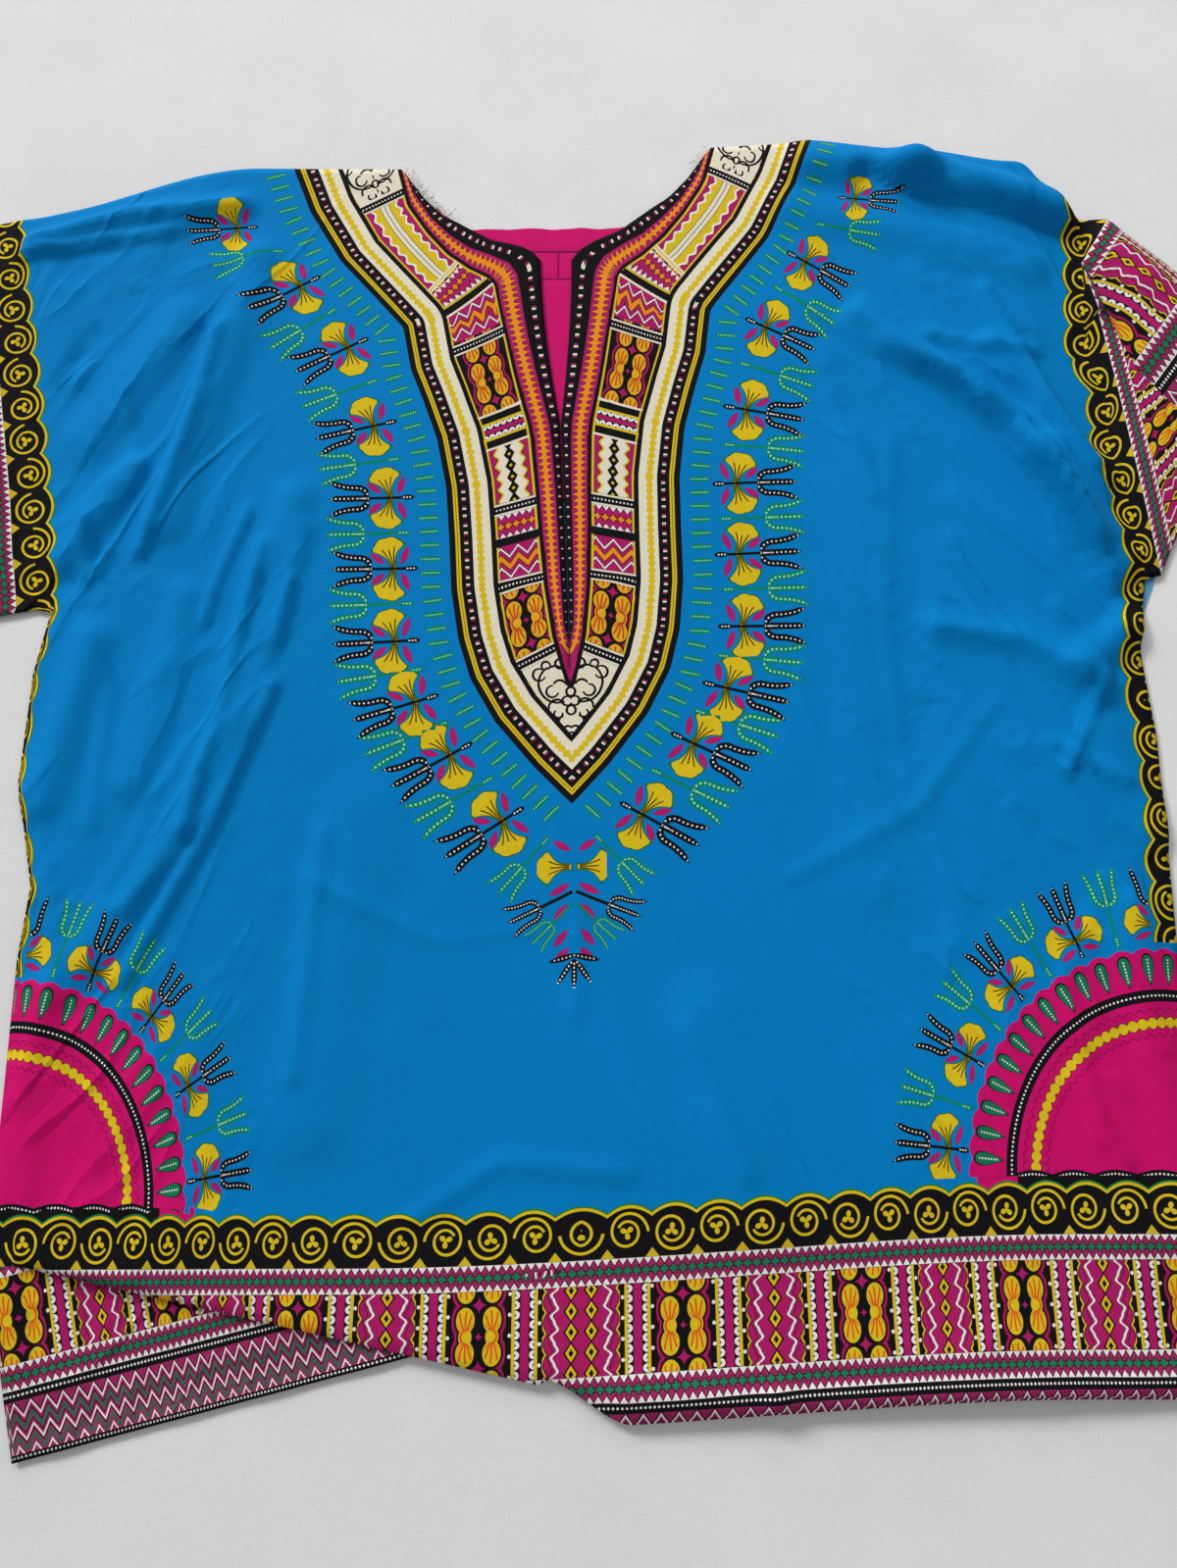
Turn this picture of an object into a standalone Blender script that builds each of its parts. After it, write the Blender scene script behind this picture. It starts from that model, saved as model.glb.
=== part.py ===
"""Dashiki shirt, laid flat on its back with the front up.

A loose pullover of printed cotton.  The front and the back are each cut in one
with their halves of the sleeves, so no seam crosses the armhole, and a plain
magenta facing is sewn inside the back of the neck.  The three pieces lie on
each other as they do on a table.  Metres, +Z up, +Y towards the neck.
"""

import math

import bmesh
import bpy

# Driving sizes of the cut, measured on the flat cloth from the centre front.
CLOTH = 0.0010
SEAM_GAP = 0.0004
HEM_V = -0.425
SHOULDER_V = 0.403
UNDERARM_V = 0.075
BORDER_U = 0.362
BODY_U = 0.376
SLEEVE_U = 0.485
SLIT_END_V = 0.030
SLIT_OPEN_V = 0.198
SLIT_GAP = 0.0007
SLIT_WIDEST = 0.021

# The whole shirt is shifted so that its box is centred on the origin.
CENTRE_X = 0.0220
CENTRE_Y = -0.0045

# Heights of the middle of the front's wall above the surface it lies on.
LOW_LAYER = 0.0022
MIDDLE_LAYER = 0.0040
TOP_LAYER = 0.0058
OVER_FACING = 0.0034

# Neckline of the cut: distance from the centre front, height up the cloth.
NECKLINE = [
    # across, up
    (0.000, 0.322),
    (0.006, 0.330),
    (0.018, 0.336),
    (0.040, 0.342),
    (0.058, 0.352),
    (0.078, 0.364),
    (0.092, 0.379),
    (0.108, 0.403),
]

# Where the edge of the printed side border lies once the shirt is laid down.
LEFT_BORDER = [
    # up, across
    (-0.4175, -0.318),
    (-0.290, -0.320),
    (-0.150, -0.323),
    (-0.105, -0.320),
    (-0.040, -0.335),
    (0.030, -0.334),
    (0.080, -0.326),
    (0.155, -0.339),
    (0.229, -0.354),
    (0.362, -0.381),
]
RIGHT_BORDER = [
    # up, across
    (-0.4175, 0.338),
    (-0.200, 0.342),
    (-0.030, 0.346),
    (0.030, 0.342),
    (0.076, 0.351),
    (0.128, 0.348),
    (0.165, 0.339),
    (0.210, 0.341),
    (0.235, 0.330),
    (0.314, 0.337),
    (0.342, 0.335),
    (0.390, 0.352),
]

# The bunched right sleeve, a section for each distance out from the centre:
# the under seam, the hidden inner fold, the fold that shows, and the shoulder.
RIGHT_SLEEVE = [
    # out,  seam_x, seam_y, inner_x, inner_y, fold_x, fold_y, top_x, top_y, crest
    (0.389, 0.3760, 0.096, 0.3560, 0.290, 0.3480, 0.326, 0.3700, 0.362, 0.008),
    (0.403, 0.3860, 0.118, 0.3660, 0.288, 0.3540, 0.314, 0.3800, 0.350, 0.012),
    (0.426, 0.4020, 0.140, 0.3880, 0.278, 0.3640, 0.280, 0.4000, 0.330, 0.014),
    (0.449, 0.4200, 0.155, 0.4080, 0.268, 0.3760, 0.246, 0.4220, 0.308, 0.012),
    (0.467, 0.4380, 0.166, 0.4240, 0.260, 0.3920, 0.222, 0.4400, 0.288, 0.010),
    (0.485, 0.4560, 0.174, 0.4400, 0.252, 0.4100, 0.202, 0.4600, 0.268, 0.008),
]

# Largest folds of the front: a ridge between two points of the laid shirt.
FOLDS = [
    # x0, y0, x1, y1, half_width, height
    (0.165, 0.408, 0.235, 0.397, 0.026, 0.009),
    (0.235, 0.397, 0.330, 0.366, 0.028, 0.016),
    (0.150, 0.372, 0.250, 0.345, 0.026, 0.004),
    (0.250, 0.345, 0.310, 0.325, 0.026, 0.004),
    (0.205, 0.255, 0.290, 0.178, 0.030, 0.006),
    (0.300, 0.240, 0.345, 0.185, 0.022, 0.007),
    (0.310, 0.180, 0.352, 0.105, 0.022, 0.009),
    (0.285, 0.125, 0.300, 0.040, 0.030, 0.005),
    (0.318, 0.035, 0.352, 0.060, 0.020, 0.007),
    (0.325, -0.010, 0.350, -0.070, 0.022, 0.005),
    (0.330, -0.120, 0.345, -0.300, 0.024, 0.005),
    (-0.260, 0.372, -0.360, 0.345, 0.020, 0.006),
    (-0.215, 0.330, -0.262, 0.130, 0.030, 0.006),
    (-0.262, 0.280, -0.318, 0.190, 0.026, 0.005),
    (-0.285, 0.170, -0.325, 0.105, 0.018, 0.007),
    (-0.180, 0.150, -0.212, 0.020, 0.028, 0.006),
    (-0.245, 0.080, -0.268, -0.040, 0.030, 0.006),
    (-0.212, 0.000, -0.285, -0.150, 0.030, 0.006),
    (-0.300, 0.050, -0.322, -0.050, 0.022, 0.006),
    (-0.305, -0.170, -0.312, -0.280, 0.024, 0.005),
    (-0.335, 0.240, -0.365, 0.330, 0.024, 0.005),
    (-0.380, 0.110, -0.430, 0.260, 0.030, 0.006),
    (-0.420, 0.300, -0.470, 0.320, 0.024, 0.006),
    (0.075, -0.180, 0.110, -0.290, 0.034, 0.003),
    (-0.130, -0.060, -0.150, -0.240, 0.038, 0.003),
    (0.190, 0.180, 0.178, -0.110, 0.028, 0.003),
    (0.030, -0.382, 0.110, -0.384, 0.016, 0.006),
    (0.110, -0.384, 0.330, -0.374, 0.014, 0.004),
]

# The hem pleat: the lower left hem swings up under the front about its corner.
PLEAT_X = -0.317
PLEAT_Y = -0.313
PLEAT_LIFT = 0.0075
PLEAT_TURN = math.radians(14.0)
PLEAT_FALL = 0.209
PLEAT_EXIT_U = -0.016
HEM_FOLD_U = 0.036
HEM_FOLD_V = -0.401
TURN_RADIUS = 0.0009

# Edge of the back as it lies, from the neck round by the right sleeve to the hem.
BACK_RIGHT_EDGE = [
    # x, y
    (0.052, 0.358), (0.067, 0.362), (0.084, 0.380), (0.098, 0.400), (0.106, 0.417),
    (0.165, 0.419), (0.250, 0.412), (0.310, 0.400), (0.352, 0.360),
    (0.410, 0.306), (0.452, 0.264), (0.452, 0.176), (0.416, 0.158),
    (0.384, 0.122), (0.360, 0.066), (0.352, 0.020), (0.356, -0.030),
    (0.353, -0.200), (0.352, -0.370), (0.200, -0.378), (0.030, -0.384),
]
# And on from the hem round by the left sleeve to the neck.
BACK_LEFT_EDGE = [
    # x, y
    (-0.020, -0.366), (-0.060, -0.350), (-0.180, -0.345), (-0.290, -0.335),
    (-0.318, -0.290), (-0.322, -0.150), (-0.320, -0.110),
    (-0.334, -0.040), (-0.332, 0.040), (-0.340, 0.072), (-0.444, 0.053),
    (-0.490, 0.330), (-0.386, 0.352), (-0.330, 0.372), (-0.262, 0.394),
    (-0.190, 0.399), (-0.116, 0.400), (-0.106, 0.386), (-0.092, 0.370),
    (-0.076, 0.356),
]
FACING_EDGE = [
    # x, y
    (0.050, 0.3565), (0.066, 0.3600), (0.082, 0.378), (0.074, 0.310),
    (0.052, 0.200), (0.040, 0.150), (-0.062, 0.150), (-0.074, 0.200),
    (-0.092, 0.310), (-0.096, 0.374), (-0.091, 0.3675), (-0.075, 0.3545),
]

# Colours of the cloth.
BLUE = (0.0, 0.20, 0.48)
MAGENTA = (0.62, 0.02, 0.19)

# Stations of the grid, from the centre front outwards and from the hem upwards.
BODY_STATIONS = [
    0.000, 0.006, 0.018, 0.040, 0.058, 0.078, 0.092, 0.108, 0.136, 0.164,
    0.192, 0.218, 0.242, 0.264, 0.286, 0.306, 0.324, 0.343, BORDER_U, BODY_U,
]
SLEEVE_STATIONS = [0.389, 0.403, 0.426, 0.449, 0.467, SLEEVE_U]
ROW_STEP = 0.0225
FLAP_ROWS = [0.0, 0.4, 0.75, 1.0]
ROLLED_ROWS = [1.0, 0.7, 0.4, 0.20, 0.10, 0.04]
LEAST_PLEAT = 0.005
HEM_ROWS = 9
FOLD_ROWS = 6
SLEEVE_FOLD_LOW = 0.245
TOP_ROWS = 4


def ease(start, end, value):
    """0 before start, 1 after end, and smooth in between."""
    part = min(max((value - start) / (end - start), 0.0), 1.0)
    return part * part * (3 - 2 * part)


def mix(a, b, part):
    return a + (b - a) * part


def look_up(table, value):
    """The second column of a two-column table at this value of its first."""
    for (at, low), (after, high) in zip(table, table[1:]):
        if value <= after:
            return mix(low, high, max(0.0, (value - at) / (after - at)))
    return table[-1][1]


def shoulder_v(u):
    """Height of the shoulder or of the neckline on the cut cloth."""
    across = abs(u)
    if across < NECKLINE[-1][0]:
        return look_up(NECKLINE, across)
    if u < 0:
        return SHOULDER_V - 0.041 * ease(0.20, BORDER_U, across)
    slope = 0.011 * ease(0.17, 0.25, u) + 0.010 * ease(0.25, 0.32, u)
    return SHOULDER_V - slope - 0.047 * ease(0.32, BODY_U, u)


def fold_height(x, y):
    """Height that the folds add at a point of the laid shirt."""
    total = 0.0
    for x0, y0, x1, y1, half_width, height in FOLDS:
        along_x, along_y = x1 - x0, y1 - y0
        length = math.hypot(along_x, along_y)
        along = ((x - x0) * along_x + (y - y0) * along_y) / length
        across = abs((x - x0) * along_y - (y - y0) * along_x) / length
        past = max(0.0, -along, along - length)
        away = math.hypot(across, past) / half_width
        if away < 1:
            total += height * (1 + math.cos(math.pi * away)) / 2
    return total


def border_shift(u, v):
    """How far the laid shirt pulls this point sideways towards its centre."""
    lean = -0.0125 * ease(-0.06, 0.36, v) * (1 - ease(0.20, 0.34, abs(u)))
    if u < 0:
        side = look_up(LEFT_BORDER, v) + BORDER_U
    else:
        side = look_up(RIGHT_BORDER, v) - BORDER_U
    shift = lean + side * ease(0.12, BORDER_U, abs(u))
    if u < -BORDER_U and v < UNDERARM_V:
        # Below the left underarm the side seam rolls round the edge.
        shift -= 0.8 * (u + BORDER_U)
    return shift


def rise(u, v):
    """How much higher the right half of the shirt lies than the left."""
    shoulder = 0.008 * ease(-0.10, 0.10, u) * ease(0.15, 0.40, v)
    return 0.018 * ease(-0.12, 0.30, u) + shoulder


def slit_shift(u, v):
    """Half the width of the open slit, fading out to both sides of it."""
    gape = SLIT_WIDEST * math.sqrt(ease(SLIT_OPEN_V, 0.325, v))
    return max(SLIT_GAP, gape) / 2 * (1 - ease(0.0, 0.075, abs(u)))


def lay(u, v, lip=0):
    """Where a point of the front's cloth lies: x, y and height of its middle."""
    x = u + border_shift(u, v)
    y = v + rise(u, v)
    if u < -BORDER_U and v > UNDERARM_V - 0.001:
        y += 0.20 * (u + BORDER_U)
    if v > SLIT_END_V and lip:
        x += lip * slit_shift(u, v)
    elif v > SLIT_END_V and u:
        x += math.copysign(slit_shift(u, v), u)
    z = LOW_LAYER + (OVER_FACING - LOW_LAYER) * (1 - ease(0.10, 0.24, abs(u)))
    puff = 0.0035 * ease(0.0, 0.05, BODY_U - abs(u)) * ease(0.0, 0.05, v - HEM_V)
    return x, y, z + puff * ease(0.10, 0.30, abs(u)) + fold_height(x, y)


def pleat_fold_v(u):
    """Height on the cloth of the edge under which the hem is folded."""
    along = u + border_shift(u, PLEAT_Y) - PLEAT_X
    if u < PLEAT_EXIT_U:
        return PLEAT_Y - PLEAT_FALL * along - rise(u, PLEAT_Y)
    at_exit = PLEAT_Y - PLEAT_FALL * (PLEAT_EXIT_U - PLEAT_X)
    return mix(at_exit, HEM_FOLD_V, ease(PLEAT_EXIT_U, HEM_FOLD_U, u))


def hidden_length(u):
    """Length of the hidden layer between the two edges of the hem's fold."""
    along = u + border_shift(u, PLEAT_Y) - PLEAT_X
    room = (pleat_fold_v(u) - HEM_V) / 2
    swung = math.tan(PLEAT_TURN / 2) * along + PLEAT_LIFT / 2
    return max(0.0, min(swung, room))


def swing(u, v):
    """A point of the hem's flap, swung about the corner of the pleat."""
    out = u + border_shift(u, PLEAT_Y) - PLEAT_X
    up = v + PLEAT_LIFT - PLEAT_Y
    x = PLEAT_X + out * math.cos(PLEAT_TURN) - up * math.sin(PLEAT_TURN)
    y = PLEAT_Y + out * math.sin(PLEAT_TURN) + up * math.cos(PLEAT_TURN)
    return x, y


def hem_column(u):
    """The nine lowest points of the front at this station, hem first."""
    edge_v = pleat_fold_v(u)
    hidden = hidden_length(u)
    x, y, z = lay(u, edge_v)
    if u > HEM_FOLD_U:
        # The hem is rolled under and lies flat behind itself.
        under = edge_v - HEM_V
        points = [(x, y + under * part, LOW_LAYER) for part in ROLLED_ROWS]
        points.append((x, y - TURN_RADIUS, (LOW_LAYER + MIDDLE_LAYER) / 2))
        points.append((x, y, MIDDLE_LAYER + 0.0006))
        points.append((x, y + 0.004, MIDDLE_LAYER + 0.0012))
        return points
    if hidden < LEAST_PLEAT:
        # Left of the pleat the flap only swings, with no cloth doubled.
        points = []
        for row in range(3):
            x, y = swing(u, mix(HEM_V, edge_v - 0.012, row / 3))
            points.append((x, y, LOW_LAYER + 0.001 * row))
        return points + [lay(u, edge_v - 0.012 + 0.0048 * row) for row in range(FOLD_ROWS)]
    inner_v = edge_v - hidden
    if u < PLEAT_EXIT_U:
        flap = [swing(u, mix(HEM_V, inner_v, part)) for part in FLAP_ROWS]
    else:
        # Where the pleat runs out through the hem, the flap is tucked out of sight.
        flap = [(x, y + hidden * part) for part in FLAP_ROWS]
    points = [(flap_x, flap_y, LOW_LAYER) for flap_x, flap_y in flap]
    inner_x, inner_y = flap[-1]
    points.append((inner_x, inner_y + TURN_RADIUS, (LOW_LAYER + MIDDLE_LAYER) / 2))
    points.append((inner_x, inner_y, MIDDLE_LAYER))
    points.append((x, y, MIDDLE_LAYER))
    points.append((x, y - TURN_RADIUS, (MIDDLE_LAYER + TOP_LAYER) / 2))
    points.append((x, y, TOP_LAYER))
    return points


def body_column(u, lip=0):
    """All points of the front at one station across the body, hem first."""
    edge_v = pleat_fold_v(u)
    points = hem_column(u)
    lifted = hidden_length(u) >= LEAST_PLEAT
    start = edge_v + 0.014
    marks = [(HEM_ROWS, start)]
    marks += [(row_of(v), v) for v in (SLIT_END_V, UNDERARM_V, SLEEVE_FOLD_LOW)]
    levels = [look_up(marks, row) for row in range(HEM_ROWS, marks[-1][0] + 1)]
    top = shoulder_v(u)
    above = FOLD_ROWS + TOP_ROWS - 1
    levels += [mix(SLEEVE_FOLD_LOW, top, (row + 1) / above) for row in range(above)]
    for v in levels:
        x, y, z = lay(u, v, lip)
        if lifted:
            z += (TOP_LAYER - LOW_LAYER) * (1 - ease(0.0, 0.07, v - edge_v))
        points.append((x, y, z))
    return points


def left_sleeve_column(u):
    """The points of the front at one station of the left sleeve."""
    body = body_column(-BODY_U)
    top = shoulder_v(u)
    rows = len(body) - row_of(UNDERARM_V)
    return [lay(u, mix(UNDERARM_V, top, row / (rows - 1))) for row in range(rows)]


def right_sleeve_column(section):
    """The points of the front at one section of the bunched right sleeve."""
    out, seam_x, seam_y, inner_x, inner_y, fold_x, fold_y, top_x, top_y, crest = section
    rows = len(body_column(BODY_U)) - row_of(UNDERARM_V)
    lower = rows - FOLD_ROWS - TOP_ROWS + 1
    points = []
    for row in range(lower):
        part = row / lower
        x = mix(seam_x, inner_x, part)
        y = mix(seam_y, inner_y, part)
        points.append((x, y, LOW_LAYER + crest * 0.25 * math.sin(math.pi * part)))
    points.append((inner_x, inner_y, LOW_LAYER))
    points.append((inner_x, inner_y + TURN_RADIUS, (LOW_LAYER + MIDDLE_LAYER) / 2))
    points.append((inner_x, inner_y, MIDDLE_LAYER))
    points.append((fold_x, fold_y, MIDDLE_LAYER))
    points.append((fold_x - TURN_RADIUS, fold_y, (MIDDLE_LAYER + TOP_LAYER) / 2))
    points.append((fold_x, fold_y, TOP_LAYER))
    for row in range(1, TOP_ROWS):
        part = row / (TOP_ROWS - 1)
        x = mix(fold_x, top_x, part)
        y = mix(fold_y, top_y, part)
        lift = crest * math.sin(math.pi * min(1.0, part * 0.95))
        points.append((x, y, mix(TOP_LAYER, LOW_LAYER, part) + lift))
    return points


def row_of(v):
    """Row of the grid that lies at this height on the cloth."""
    return HEM_ROWS + round((v - PLEAT_Y) / ROW_STEP)


def cotton(name, colour, roughness=0.85):
    material = bpy.data.materials.new(name)
    material.use_nodes = True
    shader = material.node_tree.nodes["Principled BSDF"]
    shader.inputs["Base Color"].default_value = (*colour, 1.0)
    shader.inputs["Roughness"].default_value = roughness
    shader.inputs["Metallic"].default_value = 0.0
    return material


def cloth_wall(name, columns, slit, material):
    """One panel: columns of points joined into a sheet and given its thickness.

    A column is a (first row, points) pair.  slit is the number of the column at
    the slit's left lip, which isn't joined to its right lip in the next one.
    """
    bm = bmesh.new()
    made = []
    for first, points in columns:
        made.append((first, [bm.verts.new((x + CENTRE_X, y + CENTRE_Y, z)) for x, y, z in points]))
    for index, ((first_a, a), (first_b, b)) in enumerate(zip(made, made[1:])):
        if index == slit:
            continue
        for row in range(max(first_a, first_b), min(first_a + len(a), first_b + len(b)) - 1):
            low_a, low_b = row - first_a, row - first_b
            bm.faces.new((a[low_a], b[low_b], b[low_b + 1], a[low_a + 1]))
    bmesh.ops.remove_doubles(bm, verts=bm.verts, dist=0.00001)
    mesh = bpy.data.meshes.new(name)
    bm.to_mesh(mesh)
    bm.free()
    mesh.materials.append(material)
    panel = bpy.data.objects.new(name, mesh)
    shirt.objects.link(panel)
    wall = panel.modifiers.new("cloth", "SOLIDIFY")
    wall.thickness = CLOTH
    wall.offset = 0.0


def front_panel():
    """The front with its halves of the sleeves, slit from the neck."""
    sleeve_row = row_of(UNDERARM_V)
    columns = [(sleeve_row, left_sleeve_column(-u)) for u in reversed(SLEEVE_STATIONS)]
    columns += [(0, body_column(-u)) for u in reversed(BODY_STATIONS[1:])]
    slit = len(columns)
    columns.append((0, body_column(0.0, lip=-1)))
    columns.append((0, body_column(0.0, lip=1)))
    columns += [(0, body_column(u)) for u in BODY_STATIONS[1:]]
    columns += [(sleeve_row, right_sleeve_column(section)) for section in RIGHT_SLEEVE]
    cloth_wall("front_panel", columns, slit, cotton("front_cotton", BLUE))


def flat_panel(name, outline, bottom, material):
    """A panel that lies flat: its outline filled and raised to the thickness."""
    curve = bpy.data.curves.new(name, "CURVE")
    curve.dimensions = "2D"
    curve.fill_mode = "BOTH"
    curve.extrude = CLOTH / 2
    spline = curve.splines.new("POLY")
    spline.points.add(len(outline) - 1)
    for point, (x, y) in zip(spline.points, outline):
        point.co = (x + CENTRE_X, y + CENTRE_Y, 0.0, 1.0)
    spline.use_cyclic_u = True
    curve.materials.append(material)
    panel = bpy.data.objects.new(name, curve)
    panel.location.z = bottom + CLOTH / 2
    shirt.objects.link(panel)


for old in list(bpy.data.objects):
    bpy.data.objects.remove(old)
shirt = bpy.data.collections.new("dashiki_shirt")
bpy.context.scene.collection.children.link(shirt)

# The back lies flat, the facing lies flat on it, and the front lies on both.
flat_panel("back_panel", BACK_RIGHT_EDGE + BACK_LEFT_EDGE, 0.0, cotton("back_cotton", BLUE))
flat_panel("neck_facing", FACING_EDGE, CLOTH + SEAM_GAP, cotton("facing_cotton", MAGENTA))
front_panel()
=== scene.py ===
import math

import bmesh
import bpy
import numpy as np
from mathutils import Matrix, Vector, noise


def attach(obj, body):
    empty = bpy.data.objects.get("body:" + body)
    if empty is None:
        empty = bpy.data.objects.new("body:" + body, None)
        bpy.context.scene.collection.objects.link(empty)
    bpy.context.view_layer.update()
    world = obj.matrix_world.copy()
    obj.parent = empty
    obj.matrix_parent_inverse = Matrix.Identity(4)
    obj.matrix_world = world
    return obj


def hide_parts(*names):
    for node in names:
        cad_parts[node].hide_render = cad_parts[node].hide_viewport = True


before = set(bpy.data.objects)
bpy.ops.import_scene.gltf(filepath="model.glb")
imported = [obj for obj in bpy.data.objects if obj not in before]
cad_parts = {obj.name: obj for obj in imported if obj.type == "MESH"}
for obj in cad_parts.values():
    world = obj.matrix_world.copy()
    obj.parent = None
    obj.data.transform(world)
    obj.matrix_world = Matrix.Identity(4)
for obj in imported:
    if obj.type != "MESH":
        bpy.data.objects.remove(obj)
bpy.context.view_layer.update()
bpy.ops.object.select_all(action="DESELECT")

# Camera.  It looks down on the shirt from over its lower half, tilted a little
# towards the neck, so the top of the shirt is further off than the hem.
eye = bpy.data.cameras.new("eye")
eye.lens = 27.69
eye.sensor_width = 36.0
camera = bpy.data.objects.new("camera", eye)
camera.location = (0.0320, -0.2305, 0.7146)
camera.rotation_euler = (math.radians(14.5), 0.0, 0.0)
bpy.context.scene.collection.objects.link(camera)
bpy.context.scene.camera = camera


# ---------------------------------------------------------------------------
# Front.  One width of printed cotton cut with its halves of the sleeves and
# slit from the neck.  It lies on the back, its lower left hem swung up and
# pleated under it, the rest of its hem rolled under, its right sleeve bunched.

# Heights and widths of the cut, measured on the flat cloth from the centre.
HEM_V = -0.425
SHOULDER_V = 0.403
UNDERARM_V = 0.075
BORDER_U = 0.362
BODY_U = 0.376
SLEEVE_U = 0.485
SLIT_END_V = 0.030
SLIT_OPEN_V = 0.198
SLIT_GAP = 0.0007
SLIT_WIDEST = 0.021
FRONT_CLOTH = 0.0006
CENTRE_X = 0.0220
CENTRE_Y = -0.0045

# Neckline of the cut: distance from the centre front, height up the cloth.
NECKLINE = [
    # across, up
    (0.000, 0.322), (0.006, 0.330), (0.018, 0.336), (0.040, 0.342),
    (0.058, 0.352), (0.078, 0.364), (0.092, 0.379), (0.108, 0.403),
]

# Where the inner edge of the printed side border lies once the shirt is laid.
LEFT_BORDER = [
    # up, across
    (-0.4175, -0.318), (-0.290, -0.320), (-0.150, -0.323), (-0.105, -0.320),
    (-0.040, -0.335), (0.030, -0.334), (0.080, -0.326), (0.155, -0.339),
    (0.229, -0.354), (0.362, -0.381),
]
RIGHT_BORDER = [
    # up, across
    (-0.4175, 0.338), (-0.200, 0.342), (-0.030, 0.346), (0.030, 0.342),
    (0.076, 0.351), (0.128, 0.348), (0.165, 0.339), (0.210, 0.341),
    (0.235, 0.330), (0.314, 0.337), (0.342, 0.335), (0.390, 0.352),
]

# The bunched right sleeve, a section for each distance out from the centre:
# the under seam, the hidden inner fold, the fold that shows, and the shoulder.
RIGHT_SLEEVE = [
    # out,  seam_x, seam_y, inner_x, inner_y, fold_x, fold_y, top_x, top_y, crest
    (0.389, 0.3760, 0.096, 0.3560, 0.290, 0.3480, 0.326, 0.3700, 0.362, 0.008),
    (0.403, 0.3860, 0.118, 0.3660, 0.288, 0.3540, 0.314, 0.3800, 0.350, 0.012),
    (0.426, 0.4020, 0.140, 0.3880, 0.278, 0.3640, 0.280, 0.4000, 0.330, 0.014),
    (0.449, 0.4200, 0.155, 0.4080, 0.268, 0.3760, 0.246, 0.4220, 0.308, 0.012),
    (0.467, 0.4380, 0.166, 0.4240, 0.260, 0.3920, 0.222, 0.4400, 0.288, 0.010),
    (0.485, 0.4560, 0.174, 0.4400, 0.252, 0.4100, 0.202, 0.4600, 0.268, 0.008),
]

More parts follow.
